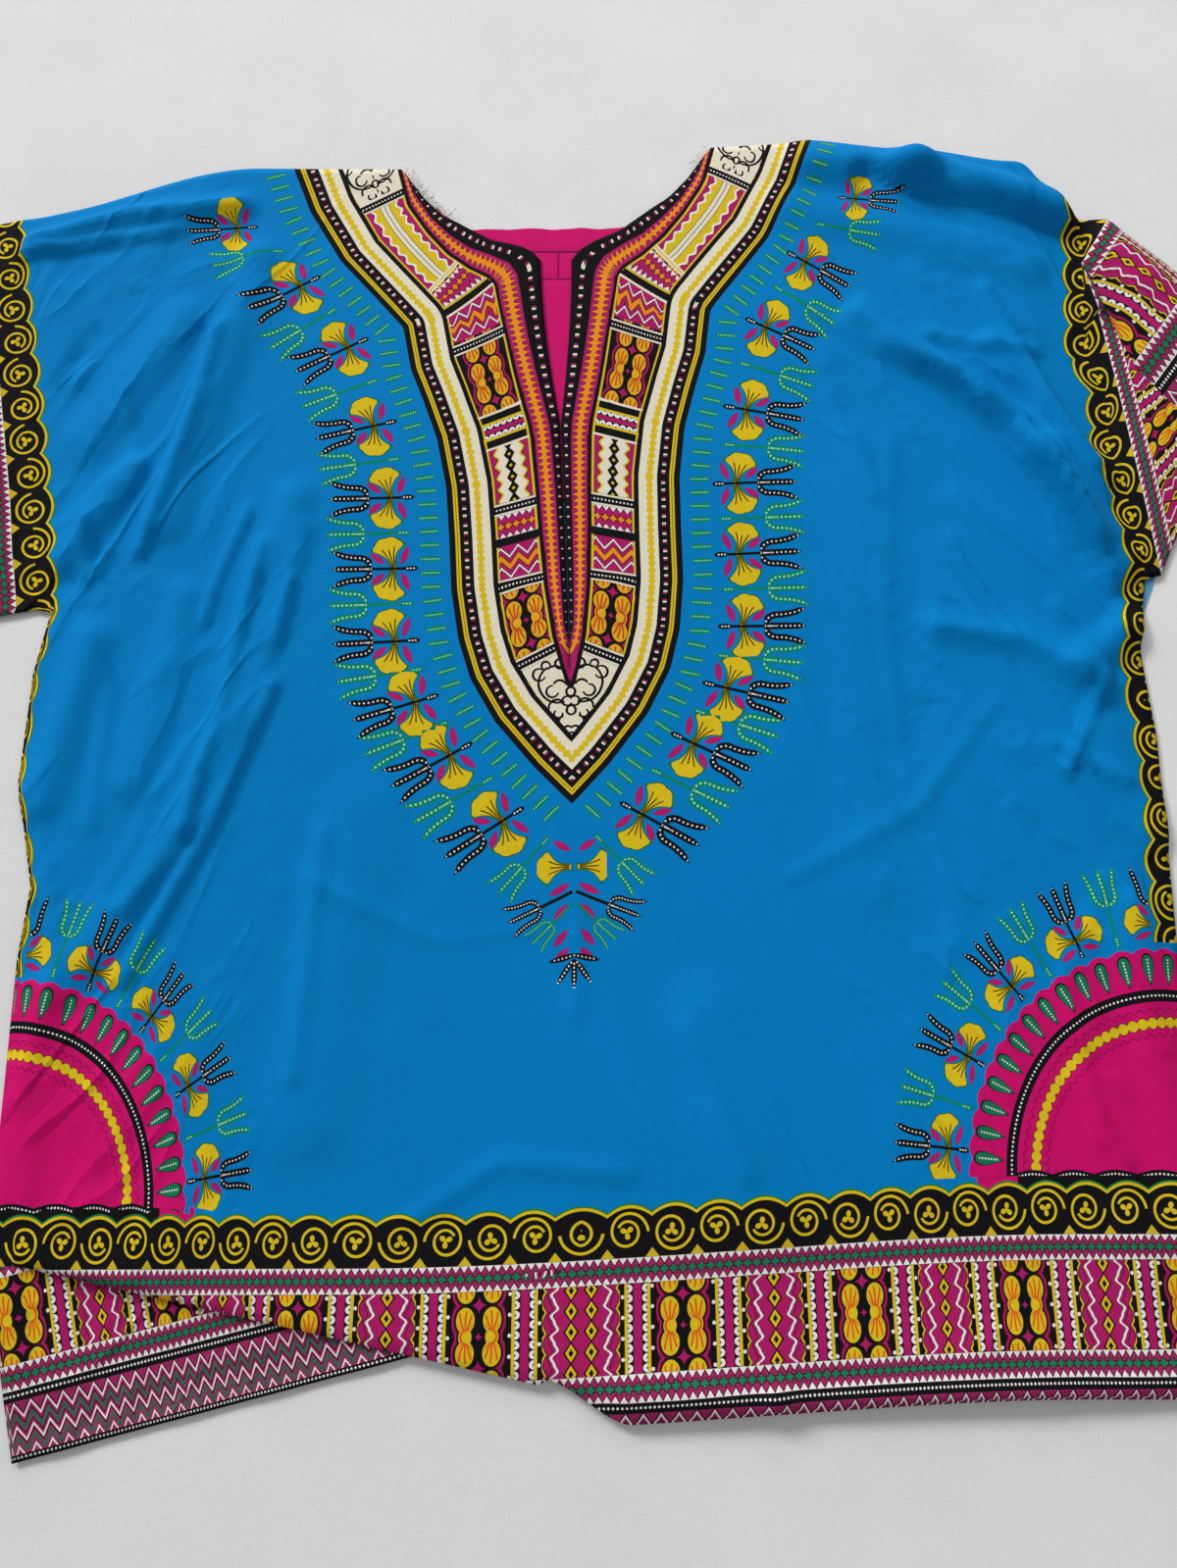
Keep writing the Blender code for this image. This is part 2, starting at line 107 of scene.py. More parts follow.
# Creases of the laid front: height (a trough is negative), half width, and the
# points of the laid shirt that the crease runs through.  The broad ones come
# first, and the crisp ones that run over them follow.
CREASES = [
    # height, half_width, points
    (0.009, 0.026, [(0.165, 0.408), (0.235, 0.397)]),
    (0.016, 0.028, [(0.235, 0.397), (0.330, 0.366)]),
    (0.004, 0.026, [(0.150, 0.372), (0.250, 0.345), (0.310, 0.325)]),
    (0.009, 0.016, [(0.190, 0.285), (0.250, 0.232), (0.290, 0.200), (0.335, 0.120)]),
    (0.008, 0.016, [(0.280, 0.262), (0.310, 0.215), (0.345, 0.165)]),
    (0.009, 0.022, [(0.310, 0.180), (0.352, 0.105)]),
    (0.006, 0.016, [(0.230, 0.060), (0.285, 0.050), (0.330, 0.020)]),
    (0.007, 0.020, [(0.318, 0.035), (0.352, 0.060)]),
    (0.005, 0.022, [(0.325, -0.010), (0.350, -0.070)]),
    (0.005, 0.024, [(0.330, -0.120), (0.345, -0.300)]),
    (0.009, 0.016, [(-0.230, 0.372), (-0.300, 0.362), (-0.372, 0.340)]),
    (0.005, 0.022, [(-0.215, 0.330), (-0.262, 0.130)]),
    (0.005, 0.026, [(-0.262, 0.280), (-0.318, 0.190)]),
    (0.007, 0.018, [(-0.285, 0.170), (-0.325, 0.105)]),
    (0.004, 0.020, [(-0.180, 0.150), (-0.212, 0.020)]),
    (0.004, 0.022, [(-0.245, 0.080), (-0.268, -0.040)]),
    (0.005, 0.022, [(-0.212, 0.000), (-0.285, -0.150)]),
    (0.006, 0.022, [(-0.300, 0.050), (-0.322, -0.050)]),
    (0.005, 0.024, [(-0.305, -0.170), (-0.312, -0.280)]),
    (0.005, 0.024, [(-0.335, 0.240), (-0.365, 0.330)]),
    (0.006, 0.030, [(-0.380, 0.110), (-0.430, 0.260)]),
    (0.006, 0.024, [(-0.420, 0.300), (-0.470, 0.320)]),
    (0.003, 0.034, [(0.075, -0.180), (0.110, -0.290)]),
    (0.003, 0.038, [(-0.130, -0.060), (-0.150, -0.240)]),
    (0.0015, 0.034, [(0.190, 0.180), (0.178, -0.110)]),
    (0.006, 0.016, [(0.030, -0.382), (0.110, -0.384)]),
    (0.004, 0.014, [(0.110, -0.384), (0.330, -0.374)]),
    (-0.0051, 0.0095, [(-0.254, 0.339), (-0.310, 0.282), (-0.349, 0.215)]),
    (0.0070, 0.0085, [(-0.238, 0.274), (-0.254, 0.189), (-0.277, 0.109)]),
    (-0.0055, 0.0085, [(-0.250, 0.270), (-0.268, 0.185), (-0.290, 0.115)]),
    (0.0046, 0.0066, [(-0.269, 0.162), (-0.303, 0.096)]),
    (0.0051, 0.0057, [(-0.312, 0.135), (-0.310, 0.090)]),
    (0.0042, 0.0057, [(-0.299, 0.162), (-0.331, 0.129)]),
    (0.0046, 0.0066, [(-0.209, 0.141), (-0.225, 0.095), (-0.232, 0.061)]),
    (0.0038, 0.0057, [(-0.179, 0.092), (-0.186, 0.048)]),
    (0.0051, 0.0076, [(-0.375, 0.330), (-0.329, 0.340), (-0.269, 0.351)]),
    (0.0061, 0.0085, [(-0.199, 0.116), (-0.214, 0.022), (-0.233, -0.072)]),
    (0.0055, 0.0085, [(-0.186, 0.022), (-0.219, -0.072), (-0.261, -0.160)]),
    (-0.0200, 0.0150, [(0.203, 0.393), (0.243, 0.372), (0.283, 0.360), (0.314, 0.348), (0.336, 0.340)]),
    (0.0055, 0.0085, [(0.197, 0.297), (0.271, 0.220), (0.302, 0.202), (0.344, 0.150)]),
    (0.0051, 0.0076, [(0.293, 0.195), (0.322, 0.143), (0.343, 0.088)]),
    (0.0042, 0.0076, [(0.236, 0.271), (0.275, 0.260), (0.311, 0.256)]),
    (0.0061, 0.0085, [(0.278, 0.305), (0.316, 0.214), (0.338, 0.171)]),
    (0.0051, 0.0066, [(0.304, 0.074), (0.331, 0.027)]),
    (0.0046, 0.0066, [(0.331, 0.027), (0.301, -0.034)]),
    (0.0042, 0.0066, [(0.292, -0.015), (0.337, -0.042)]),
    (0.0014, 0.0085, [(0.208, 0.193), (0.196, 0.060), (0.203, -0.040)]),
    (0.0032, 0.0076, [(0.288, -0.216), (0.312, -0.264)]),
    (0.0038, 0.0076, [(-0.295, -0.216), (-0.249, -0.286)]),
    (0.0028, 0.0104, [(0.067, -0.188), (0.099, -0.270)]),
    (0.0028, 0.0104, [(-0.150, -0.072), (-0.159, -0.216)]),
    (-0.0045, 0.016, [(0.255, 0.388), (0.320, 0.352), (0.345, 0.322)]),
    (0.0045, 0.016, [(0.210, 0.262), (0.262, 0.232), (0.318, 0.150), (0.345, 0.062)]),
    (-0.0040, 0.012, [(0.232, 0.236), (0.300, 0.160), (0.335, 0.070)]),
    (0.0030, 0.009, [(0.150, 0.300), (0.196, 0.262), (0.250, 0.236)]),
    (-0.0028, 0.009, [(0.318, 0.268), (0.338, 0.230), (0.346, 0.190)]),
    (0.0026, 0.009, [(0.168, 0.225), (0.196, 0.150)]),
    (0.0026, 0.010, [(0.246, 0.150), (0.300, 0.070), (0.322, 0.010)]),
    (0.0030, 0.010, [(-0.340, 0.305), (-0.300, 0.235), (-0.286, 0.190)]),
    (-0.0030, 0.010, [(-0.236, 0.300), (-0.262, 0.235), (-0.300, 0.175)]),
    (0.0034, 0.011, [(-0.172, 0.128), (-0.190, 0.040), (-0.222, -0.060), (-0.262, -0.118)]),
    (-0.0034, 0.011, [(-0.196, 0.090), (-0.226, -0.020), (-0.270, -0.110)]),
    (0.0028, 0.010, [(-0.318, 0.080), (-0.286, 0.020), (-0.290, -0.070)]),
    (0.0026, 0.010, [(-0.322, -0.060), (-0.300, -0.150), (-0.312, -0.230)]),
    (-0.0026, 0.008, [(-0.292, -0.178), (-0.262, -0.232), (-0.256, -0.286)]),
    (0.0018, 0.010, [(-0.160, -0.100), (-0.080, -0.138), (-0.020, -0.130)]),
    (0.0018, 0.009, [(-0.014, -0.052), (0.004, -0.112), (0.002, -0.180)]),
    (0.0022, 0.010, [(-0.100, -0.300), (-0.040, -0.262), (0.030, -0.268)]),
    (0.0020, 0.010, [(0.130, -0.100), (0.205, -0.060), (0.262, 0.010)]),
    (0.0024, 0.010, [(0.318, -0.100), (0.286, -0.160), (0.300, -0.250)]),
    (-0.0030, 0.010, [(-0.356, 0.140), (-0.378, 0.230), (-0.392, 0.300)]),
    (0.0030, 0.009, [(-0.404, 0.100), (-0.440, 0.180), (-0.452, 0.260)]),
]

# A crease narrower than SHARP falls away from a crisp edge, and a wider one is
# round.  Between them the cloth rises and falls by up to BROAD_RISE and FINE_RISE.
SHARP = 0.0165
SHARPNESS = 1.6
BROAD_RISE = 0.0016
FINE_RISE = 0.0005

# Heights of the middle of the cloth above the surface that the shirt lies on.
LOW_LAYER = 0.0022
MIDDLE_LAYER = 0.0040
TOP_LAYER = 0.0058
OVER_FACING = 0.0034

# How the cloth is pulled as it lies: the neck leans to the left, the right half
# and its shoulder lie further up, and the left sleeve droops and its seam rolls.
NECK_LEAN = 0.0125
RIGHT_RISE = 0.018
SHOULDER_RISE = 0.008
LEFT_SLEEVE_DROOP = 0.20
SEAM_ROLL = 0.8
PUFF = 0.0035

# The hem pleat: the lower left hem swings up under the front about its corner.
PLEAT_X = -0.317
PLEAT_Y = -0.313
PLEAT_LIFT = 0.0075
PLEAT_TURN = math.radians(14.0)
PLEAT_FALL = 0.209
PLEAT_EXIT_U = -0.016
HEM_FOLD_U = 0.036
HEM_FOLD_V = -0.401
TURN_RADIUS = 0.0009
LEAST_PLEAT = 0.005
JOINED = 0.012

# Grid of the front: width of a cell, and the rows of each stretch of the cloth.
CELL = 0.0042
FLAP_ROWS = 26
TUCK_ROWS = 7
SKIRT_ROWS = 92
SLIT_ROWS = 11
SLEEVE_ROWS = 40
YOKE_ROWS = 36
SLEEVE_FOLD_LOW = 0.245


def ease(start, end, value):
    """0 before start, 1 after end, and smooth in between."""
    part = min(max((value - start) / (end - start), 0.0), 1.0)
    return part * part * (3 - 2 * part)


def mix(a, b, part):
    return a + (b - a) * part


def look_up(table, value):
    """The second column of a two-column table at this value of its first."""
    for (at, low), (after, high) in zip(table, table[1:]):
        if value <= after:
            return mix(low, high, max(0.0, (value - at) / (after - at)))
    return table[-1][1]


def shoulder_v(u):
    """Height of the shoulder or of the neckline on the cut cloth."""
    across = abs(u)
    if across < NECKLINE[-1][0]:
        return look_up(NECKLINE, across)
    if u < 0:
        return SHOULDER_V - 0.041 * ease(0.20, BORDER_U, across)
    slope = 0.011 * ease(0.17, 0.25, u) + 0.010 * ease(0.25, 0.32, u)
    return SHOULDER_V - slope - 0.047 * ease(0.32, BODY_U, u)


def off_run(x, y, x0, y0, x1, y1):
    """Distance of a point from the straight run between two others."""
    along_x, along_y = x1 - x0, y1 - y0
    part = ((x - x0) * along_x + (y - y0) * along_y) / (along_x**2 + along_y**2)
    part = min(max(part, 0.0), 1.0)
    return math.hypot(x - x0 - along_x * part, y - y0 - along_y * part)


def crease_height(x, y):
    """Height that the creases add at a point of the laid shirt."""
    total = 0.0
    for height, half_width, points in CREASES:
        nearest = half_width
        for start, end in zip(points, points[1:]):
            nearest = min(nearest, off_run(x, y, *start, *end))
        if half_width < SHARP:
            total += height * (1 - nearest / half_width) ** SHARPNESS
        else:
            total += height * (1 + math.cos(math.pi * nearest / half_width)) / 2
    return total


def unevenness(x, y):
    """The cloth's own slight rise and fall between its creases."""
    broad = noise.noise(Vector((x * 9, y * 6, 3.1)))
    fine = noise.noise(Vector((x * 31, y * 24, 8.7)))
    return BROAD_RISE * broad + FINE_RISE * fine


def border_shift(u, v):
    """How far the laid shirt pulls this point sideways towards its centre."""
    lean = -NECK_LEAN * ease(-0.06, 0.36, v) * (1 - ease(0.20, 0.34, abs(u)))
    if u < 0:
        side = look_up(LEFT_BORDER, v) + BORDER_U
    else:
        side = look_up(RIGHT_BORDER, v) - BORDER_U
    shift = lean + side * ease(0.12, BORDER_U, abs(u))
    if u < -BORDER_U and v < UNDERARM_V:
        # Below the left underarm the side seam rolls round the edge.
        shift -= SEAM_ROLL * (u + BORDER_U)
    return shift


def rise(u, v):
    """How much higher the right half of the shirt lies than the left."""
    shoulder = SHOULDER_RISE * ease(-0.10, 0.10, u) * ease(0.15, 0.40, v)
    return RIGHT_RISE * ease(-0.12, 0.30, u) + shoulder


def slit_shift(u, v):
    """Half the width of the open slit, fading out to both sides of it."""
    gape = SLIT_WIDEST * math.sqrt(ease(SLIT_OPEN_V, 0.325, v))
    return max(SLIT_GAP, gape) / 2 * (1 - ease(0.0, 0.075, abs(u)))


def lay(u, v, lip=0):
    """Where a point of the front's cloth lies: x, y and height of its middle."""
    x = u + border_shift(u, v)
    y = v + rise(u, v)
    if u < -BORDER_U and v > UNDERARM_V - 0.001:
        y += LEFT_SLEEVE_DROOP * (u + BORDER_U)
    if v > SLIT_END_V and lip:
        x += lip * slit_shift(u, v)
    elif v > SLIT_END_V and u:
        x += math.copysign(slit_shift(u, v), u)
    z = LOW_LAYER + (OVER_FACING - LOW_LAYER) * (1 - ease(0.10, 0.24, abs(u)))
    puff = PUFF * ease(0.0, 0.05, BODY_U - abs(u)) * ease(0.0, 0.05, v - HEM_V)
    z += puff * ease(0.10, 0.30, abs(u))
    loose = ease(0.0, 0.03, SLEEVE_U - abs(u)) * ease(0.0, 0.03, shoulder_v(u) - v)
    return x, y, z + max(0.0, crease_height(x, y) + unevenness(x, y) * loose)


def pleat_fold_v(u):
    """Height on the cloth of the edge under which the hem is folded."""
    along = u + border_shift(u, PLEAT_Y) - PLEAT_X
    if u < PLEAT_EXIT_U:
        return PLEAT_Y - PLEAT_FALL * along - rise(u, PLEAT_Y)
    at_exit = PLEAT_Y - PLEAT_FALL * (PLEAT_EXIT_U - PLEAT_X)
    return mix(at_exit, HEM_FOLD_V, ease(PLEAT_EXIT_U, HEM_FOLD_U, u))


def hidden_length(u):
    """Length of the hidden layer between the two edges of the hem's fold."""
    along = u + border_shift(u, PLEAT_Y) - PLEAT_X
    room = (pleat_fold_v(u) - HEM_V) / 2
    swung = math.tan(PLEAT_TURN / 2) * along + PLEAT_LIFT / 2
    return max(0.0, min(swung, room))


def swing(u, v):
    """A point of the hem's flap, swung about the corner of the pleat."""
    out = u + border_shift(u, PLEAT_Y) - PLEAT_X
    up = v + PLEAT_LIFT - PLEAT_Y
    x = PLEAT_X + out * math.cos(PLEAT_TURN) - up * math.sin(PLEAT_TURN)
    y = PLEAT_Y + out * math.sin(PLEAT_TURN) + up * math.cos(PLEAT_TURN)
    return x, y


def turn_over(x, y, low, high, outward):
    """Seven points round a fold, from the low layer to the high one."""
    middle, radius = (low + high) / 2, (high - low) / 2
    points = []
    for step in range(TUCK_ROWS):
        angle = math.pi * step / (TUCK_ROWS - 1)
        bulge = outward * TURN_RADIUS * math.sin(angle)
        points.append((x, y + bulge, middle - radius * math.cos(angle)))
    return points


def hem_column(u):
    """The front below its fold: (height on the cloth, place) of each point."""
    edge_v = pleat_fold_v(u)
    hidden = hidden_length(u)
    x, y, top = lay(u, edge_v)
    ripple = 0.0010 * noise.noise(Vector((u * 22, 0.4, 5.0)))
    parts = [row / (FLAP_ROWS - 1) for row in range(FLAP_ROWS)]
    if u > HEM_FOLD_U:
        # The hem is rolled under and lies flat behind itself.
        under = edge_v - HEM_V
        levels = [mix(HEM_V, edge_v, part) for part in parts]
        points = [(x, y + under * (1 - part), LOW_LAYER) for part in parts]
        levels += [edge_v] * (3 * TUCK_ROWS)
        points += turn_over(x, y, LOW_LAYER, MIDDLE_LAYER + 0.0006, -1)
        points += [points[-1]] * (2 * TUCK_ROWS)
    elif hidden < LEAST_PLEAT:
        # Left of the pleat the flap only swings, with no cloth doubled.
        levels = [mix(HEM_V, edge_v - JOINED, part) for part in parts]
        points = [(*swing(u, v), LOW_LAYER + 0.003 * part) for v, part in zip(levels, parts)]
        count = 3 * TUCK_ROWS
        joined = [mix(edge_v - JOINED, edge_v, row / (count - 1)) for row in range(count)]
        levels += joined
        points += [lay(u, v) for v in joined]
    else:
        inner_v = edge_v - hidden
        levels = [mix(HEM_V, inner_v, part) for part in parts]
        if u < PLEAT_EXIT_U:
            points = [(*swing(u, v), LOW_LAYER + max(0.0, ripple * 2)) for v in levels]
        else:
            # Where the pleat runs out through the hem, the flap is tucked away.
            points = [(x, y + hidden * part, LOW_LAYER) for part in parts]
        inner_x, inner_y, _ = points[-1]
        levels += [inner_v] * TUCK_ROWS
        points += turn_over(inner_x, inner_y, LOW_LAYER, MIDDLE_LAYER, 1)
        for row in range(TUCK_ROWS):
            part = row / (TUCK_ROWS - 1)
            levels.append(mix(inner_v, edge_v, part))
            points.append((mix(inner_x, x, part), mix(inner_y, y, part), MIDDLE_LAYER))
        levels += [edge_v] * TUCK_ROWS
        points += turn_over(x, y, MIDDLE_LAYER, TOP_LAYER, -1)
    return levels, points


def body_column(u, lip=0):
    """The front at one distance from its centre: heights on the cloth, places."""
    edge_v = pleat_fold_v(u)
    levels, points = hem_column(u)
    marks = [
        (0, edge_v + 0.002), (SKIRT_ROWS, SLIT_END_V), (SKIRT_ROWS + SLIT_ROWS, UNDERARM_V),
        (SKIRT_ROWS + SLIT_ROWS + SLEEVE_ROWS, SLEEVE_FOLD_LOW),
        (SKIRT_ROWS + SLIT_ROWS + SLEEVE_ROWS + YOKE_ROWS, shoulder_v(u)),
    ]
    lifted = hidden_length(u) >= LEAST_PLEAT
    for row in range(marks[-1][0] + 1):
        v = look_up(marks, row)
        x, y, z = lay(u, v, lip)
        if lifted:
            z += (TOP_LAYER - LOW_LAYER) * (1 - ease(0.0, 0.07, v - edge_v))
        levels.append(v)
        points.append((x, y, z))
    return levels, points


def sleeve_section(out):
    """The row of RIGHT_SLEEVE at this distance out, between its own rows."""
    for low, high in zip(RIGHT_SLEEVE, RIGHT_SLEEVE[1:]):
        if out <= high[0]:
            part = max(0.0, (out - low[0]) / (high[0] - low[0]))
            return [mix(a, b, part) for a, b in zip(low, high)]
    return list(RIGHT_SLEEVE[-1])


def right_sleeve_column(out, body):
    """The bunched right sleeve at one distance out, on the body's own heights."""
    _, seam_x, seam_y, inner_x, inner_y, fold_x, fold_y, top_x, top_y, crest = sleeve_section(out)
    low = LOW_LAYER
    path = [
        # row, x, y, z
        (SLEEVE_ROWS, inner_x, inner_y, low),
        (SLEEVE_ROWS + 4, inner_x, inner_y, low),
        (SLEEVE_ROWS + 8, inner_x, inner_y + TURN_RADIUS, (low + MIDDLE_LAYER) / 2),
        (SLEEVE_ROWS + 12, inner_x, inner_y, MIDDLE_LAYER),
        (SLEEVE_ROWS + 16, fold_x, fold_y, MIDDLE_LAYER),
        (SLEEVE_ROWS + 20, fold_x - TURN_RADIUS, fold_y, (MIDDLE_LAYER + TOP_LAYER) / 2),
        (SLEEVE_ROWS + 24, fold_x, fold_y, TOP_LAYER),
        (SLEEVE_ROWS + YOKE_ROWS, top_x, top_y, low),
    ]
    points = []
    for row in range(SLEEVE_ROWS + YOKE_ROWS + 1):
        if row <= SLEEVE_ROWS:
            part = row / (SLEEVE_ROWS + 4)
            x, y = mix(seam_x, inner_x, part), mix(seam_y, inner_y, part)
            z = low + crest * 0.25 * math.sin(math.pi * part)
        else:
            x, y, z = (look_up([(step[0], step[axis]) for step in path], row) for axis in (1, 2, 3))
        if row > SLEEVE_ROWS + 24:
            part = (row - SLEEVE_ROWS - 24) / (YOKE_ROWS - 24)
            z += crest * math.sin(math.pi * part * 0.95)
            z += 0.0025 * noise.noise(Vector((x * 60, y * 60, 2.0))) * math.sin(math.pi * part)
        points.append((x, y, z))
    joining = min(1.0, (out - BODY_U) / (RIGHT_SLEEVE[0][0] - BODY_U))
    return [tuple(mix(a, b, joining) for a, b in zip(at_body, at)) for at_body, at in zip(body, points)]


# The columns of the front, from the left cuff to the right one.  Each has its
# distance from the centre, its first row, and its heights and places.
HEM_ROWS = FLAP_ROWS + 3 * TUCK_ROWS
SLEEVE_ROW = HEM_ROWS + SKIRT_ROWS + SLIT_ROWS
body_steps = round(BODY_U / CELL)
sleeve_steps = round((SLEEVE_U - BODY_U) / CELL)
right_body = [BODY_U * step / body_steps for step in range(1, body_steps + 1)]
outside = [mix(BODY_U, SLEEVE_U, step / sleeve_steps) for step in range(1, sleeve_steps + 1)]
columns = []
edge_levels, edge_points = body_column(-BODY_U)
for out in reversed(outside):
    top = shoulder_v(-out)
    span = edge_levels[-1] - UNDERARM_V
    grown = (top - UNDERARM_V) / span
    levels = [UNDERARM_V + (v - UNDERARM_V) * grown for v in edge_levels[SLEEVE_ROW:]]
    columns.append((-out, SLEEVE_ROW, levels, [lay(-out, v) for v in levels]))
for u in reversed(right_body):
    columns.append((-u, 0, *body_column(-u)))
slit_column = len(columns)
columns.append((0.0, 0, *body_column(0.0, lip=-1)))
columns.append((0.0, 0, *body_column(0.0, lip=1)))
for u in right_body:
    columns.append((u, 0, *body_column(u)))
_, _, edge_levels, edge_points = columns[-1]
for out in outside:
    points = right_sleeve_column(out, edge_points[SLEEVE_ROW:])
    gone = [0.0]
    for a, b in zip(points, points[1:]):
        gone.append(gone[-1] + math.dist(a, b))
    joining = min(1.0, (out - BODY_U) / 0.030)
    by_length = [mix(UNDERARM_V, edge_levels[-1], length / gone[-1]) for length in gone]
    levels = [mix(a, b, joining) for a, b in zip(edge_levels[SLEEVE_ROW:], by_length)]
    columns.append((out, SLEEVE_ROW, levels, points))

places, cuts, faces, first = [], [], [], []
for u, start, levels, points in columns:
    first.append(len(places) - start)
    places += [(x + CENTRE_X, y + CENTRE_Y, z) for x, y, z in points]
    cuts += [(u, v, 0.0) for v in levels]
for index, (a, b) in enumerate(zip(columns, columns[1:])):
    # The lips of the slit meet only where merging joins them, below its end.
    count = 0 if index == slit_column else SLEEVE_ROW + SLEEVE_ROWS + YOKE_ROWS
    for row in range(max(a[1], b[1]), count):
        low_a, low_b = first[index] + row, first[index + 1] + row
        faces.append((low_a, low_b, low_b + 1, low_a + 1))

# Lines of the print on the flat cloth: distance from the centre, height up it.
PLAQUE_EDGE = [
    # out, up
    (0.0000, -0.0583), (0.0230, -0.0340), (0.0472, -0.0037), (0.0623, 0.0245),
    (0.0696, 0.0508), (0.0738, 0.0843), (0.0746, 0.1218), (0.0760, 0.1567),
    (0.0815, 0.1920), (0.0905, 0.2210), (0.0985, 0.2440), (0.1038, 0.2760),
    (0.1160, 0.2910), (0.1470, 0.3280), (0.1683, 0.3675), (0.1820, 0.4060),
]
CHAIN_EDGE = [
    # out, up
    (0.0000, 0.0180), (0.0027, 0.0285), (0.0079, 0.0517), (0.0119, 0.0853),
    (0.0143, 0.1265), (0.0153, 0.1545), (0.0173, 0.1900), (0.0221, 0.2265),
    (0.0270, 0.2638), (0.0322, 0.2940), (0.0345, 0.3075), (0.0405, 0.3140),
    (0.0572, 0.3225), (0.0723, 0.3340), (0.0863, 0.3510), (0.1010, 0.3740),
    (0.1090, 0.4040),
]
SLIT_BAND_EDGE = [
    # out, up
    (0.0000, 0.0450), (0.0028, 0.0580), (0.0038, 0.0849), (0.0044, 0.1191),
    (0.0050, 0.1540), (0.0063, 0.1895), (0.0091, 0.2257), (0.0125, 0.2627),
    (0.0160, 0.3005), (0.0180, 0.3136), (0.0245, 0.3226), (0.0410, 0.3305),
    (0.0580, 0.3370), (0.0730, 0.3480), (0.0870, 0.3630), (0.1000, 0.3840),
    (0.1060, 0.4030),
]
LIP = [(0.0, 0.0)] + NECKLINE
TILE_LINE = [
    # out, up: the middle of the column of tiles, from the tip to the shoulder
    (0.0000, -0.0330), (0.0100, 0.0060), (0.0188, 0.0380), (0.0246, 0.0590),
    (0.0283, 0.0860), (0.0294, 0.1130), (0.0326, 0.1550), (0.0370, 0.1840),
    (0.0420, 0.2130), (0.0514, 0.2500), (0.0573, 0.2800), (0.0684, 0.3040),
    (0.0926, 0.3320), (0.1140, 0.3600), (0.1277, 0.3967), (0.1310, 0.4100),
]
TILE_TILT = 0.17

# Sprays of the print: where the head of each stem is, which way it points from
# there (degrees up from straight out), and its size.
DARK_SPRAYS = [
    # out, up, turn, size
    (0.203, 0.355, -6, 0.85), (0.162, 0.315, -32, 1.0), (0.129, 0.267, -28, 1.0),
    (0.110, 0.205, -14, 1.0), (0.099, 0.150, -2, 1.0), (0.097, 0.100, -1, 1.0),
    (0.096, 0.051, -3, 1.0), (0.084, 0.014, -17, 1.0), (0.063, -0.018, -29, 1.0),
    (0.031, -0.060, -32, 1.0),
]
GREEN_SPRAYS = [
    # out, up, turn, size
    (0.184, 0.335, -14, 0.9), (0.149, 0.291, -36, 1.0), (0.121, 0.236, -22, 1.0),
    (0.106, 0.178, -9, 1.0), (0.100, 0.125, -2, 1.0), (0.098, 0.076, -2, 1.0),
    (0.092, 0.032, -9, 1.0), (0.076, -0.003, -22, 1.0), (0.048, -0.039, -30, 1.0),
    (0.014, -0.078, -48, 0.8),
]
FAN_OUT, FAN_UP, FAN_RADIUS = 0.364, -0.291, 0.131
FAN_DARK_TURNS = [8, 29, 49, 69, 89]
FAN_GREEN_TURNS = [18, 39, 59, 79]
FAN_SPRAY_SIZE = 0.86
for turns, sprays in ((FAN_DARK_TURNS, DARK_SPRAYS), (FAN_GREEN_TURNS, GREEN_SPRAYS)):
    for turn in turns:
        angle = math.radians(180 - turn)
        reach = FAN_RADIUS + 0.002
        head = (FAN_OUT + reach * math.cos(angle), FAN_UP + reach * math.sin(angle))
        sprays.append((*head, 180 - turn, FAN_SPRAY_SIZE))
TICK_AWAY, TICK_PITCH = 0.0127, 0.0096
SCALLOP_V = -0.2915


def off_line(line, out, up):
    """Signed distance from a line, positive on its right, and the run along it."""
    best = np.full(out.shape, 9.0)
    side = np.zeros(out.shape)
    run = np.zeros(out.shape)
    gone = 0.0
    for (x0, y0), (x1, y1) in zip(line, line[1:]):
        dx, dy = x1 - x0, y1 - y0
        length = math.hypot(dx, dy)
        part = np.clip(((out - x0) * dx + (up - y0) * dy) / length**2, 0, 1)
        away = np.hypot(out - x0 - dx * part, up - y0 - dy * part)
        nearer = away < best
        cross = (out - x0) * dy - (up - y0) * dx
        best = np.where(nearer, away, best)
        side = np.where(nearer, np.where(cross < 0, -1.0, 1.0), side)
        run = np.where(nearer, gone + length * part, run)
        gone += length
    return best * side, run


def frames_along(line, away, pitch):
    """Places at an even pitch beside a line, each with the way that it faces."""
    found, gone, wanted = [], 0.0, pitch / 2
    shifted = []
    for index, (x, y) in enumerate(line):
        x0, y0 = line[max(0, index - 1)]
        x1, y1 = line[min(len(line) - 1, index + 1)]
        length = math.hypot(x1 - x0, y1 - y0)
        shifted.append((x + away * (y1 - y0) / length, y - away * (x1 - x0) / length))
    for (x0, y0), (x1, y1) in zip(shifted, shifted[1:]):
        length = math.hypot(x1 - x0, y1 - y0)
        while wanted <= gone + length:
            part = (wanted - gone) / length
            turn = math.degrees(math.atan2(x0 - x1, y1 - y0))
            found.append((mix(x0, x1, part), mix(y0, y1, part), turn, 1.0))
            wanted += pitch
        gone += length
    return found


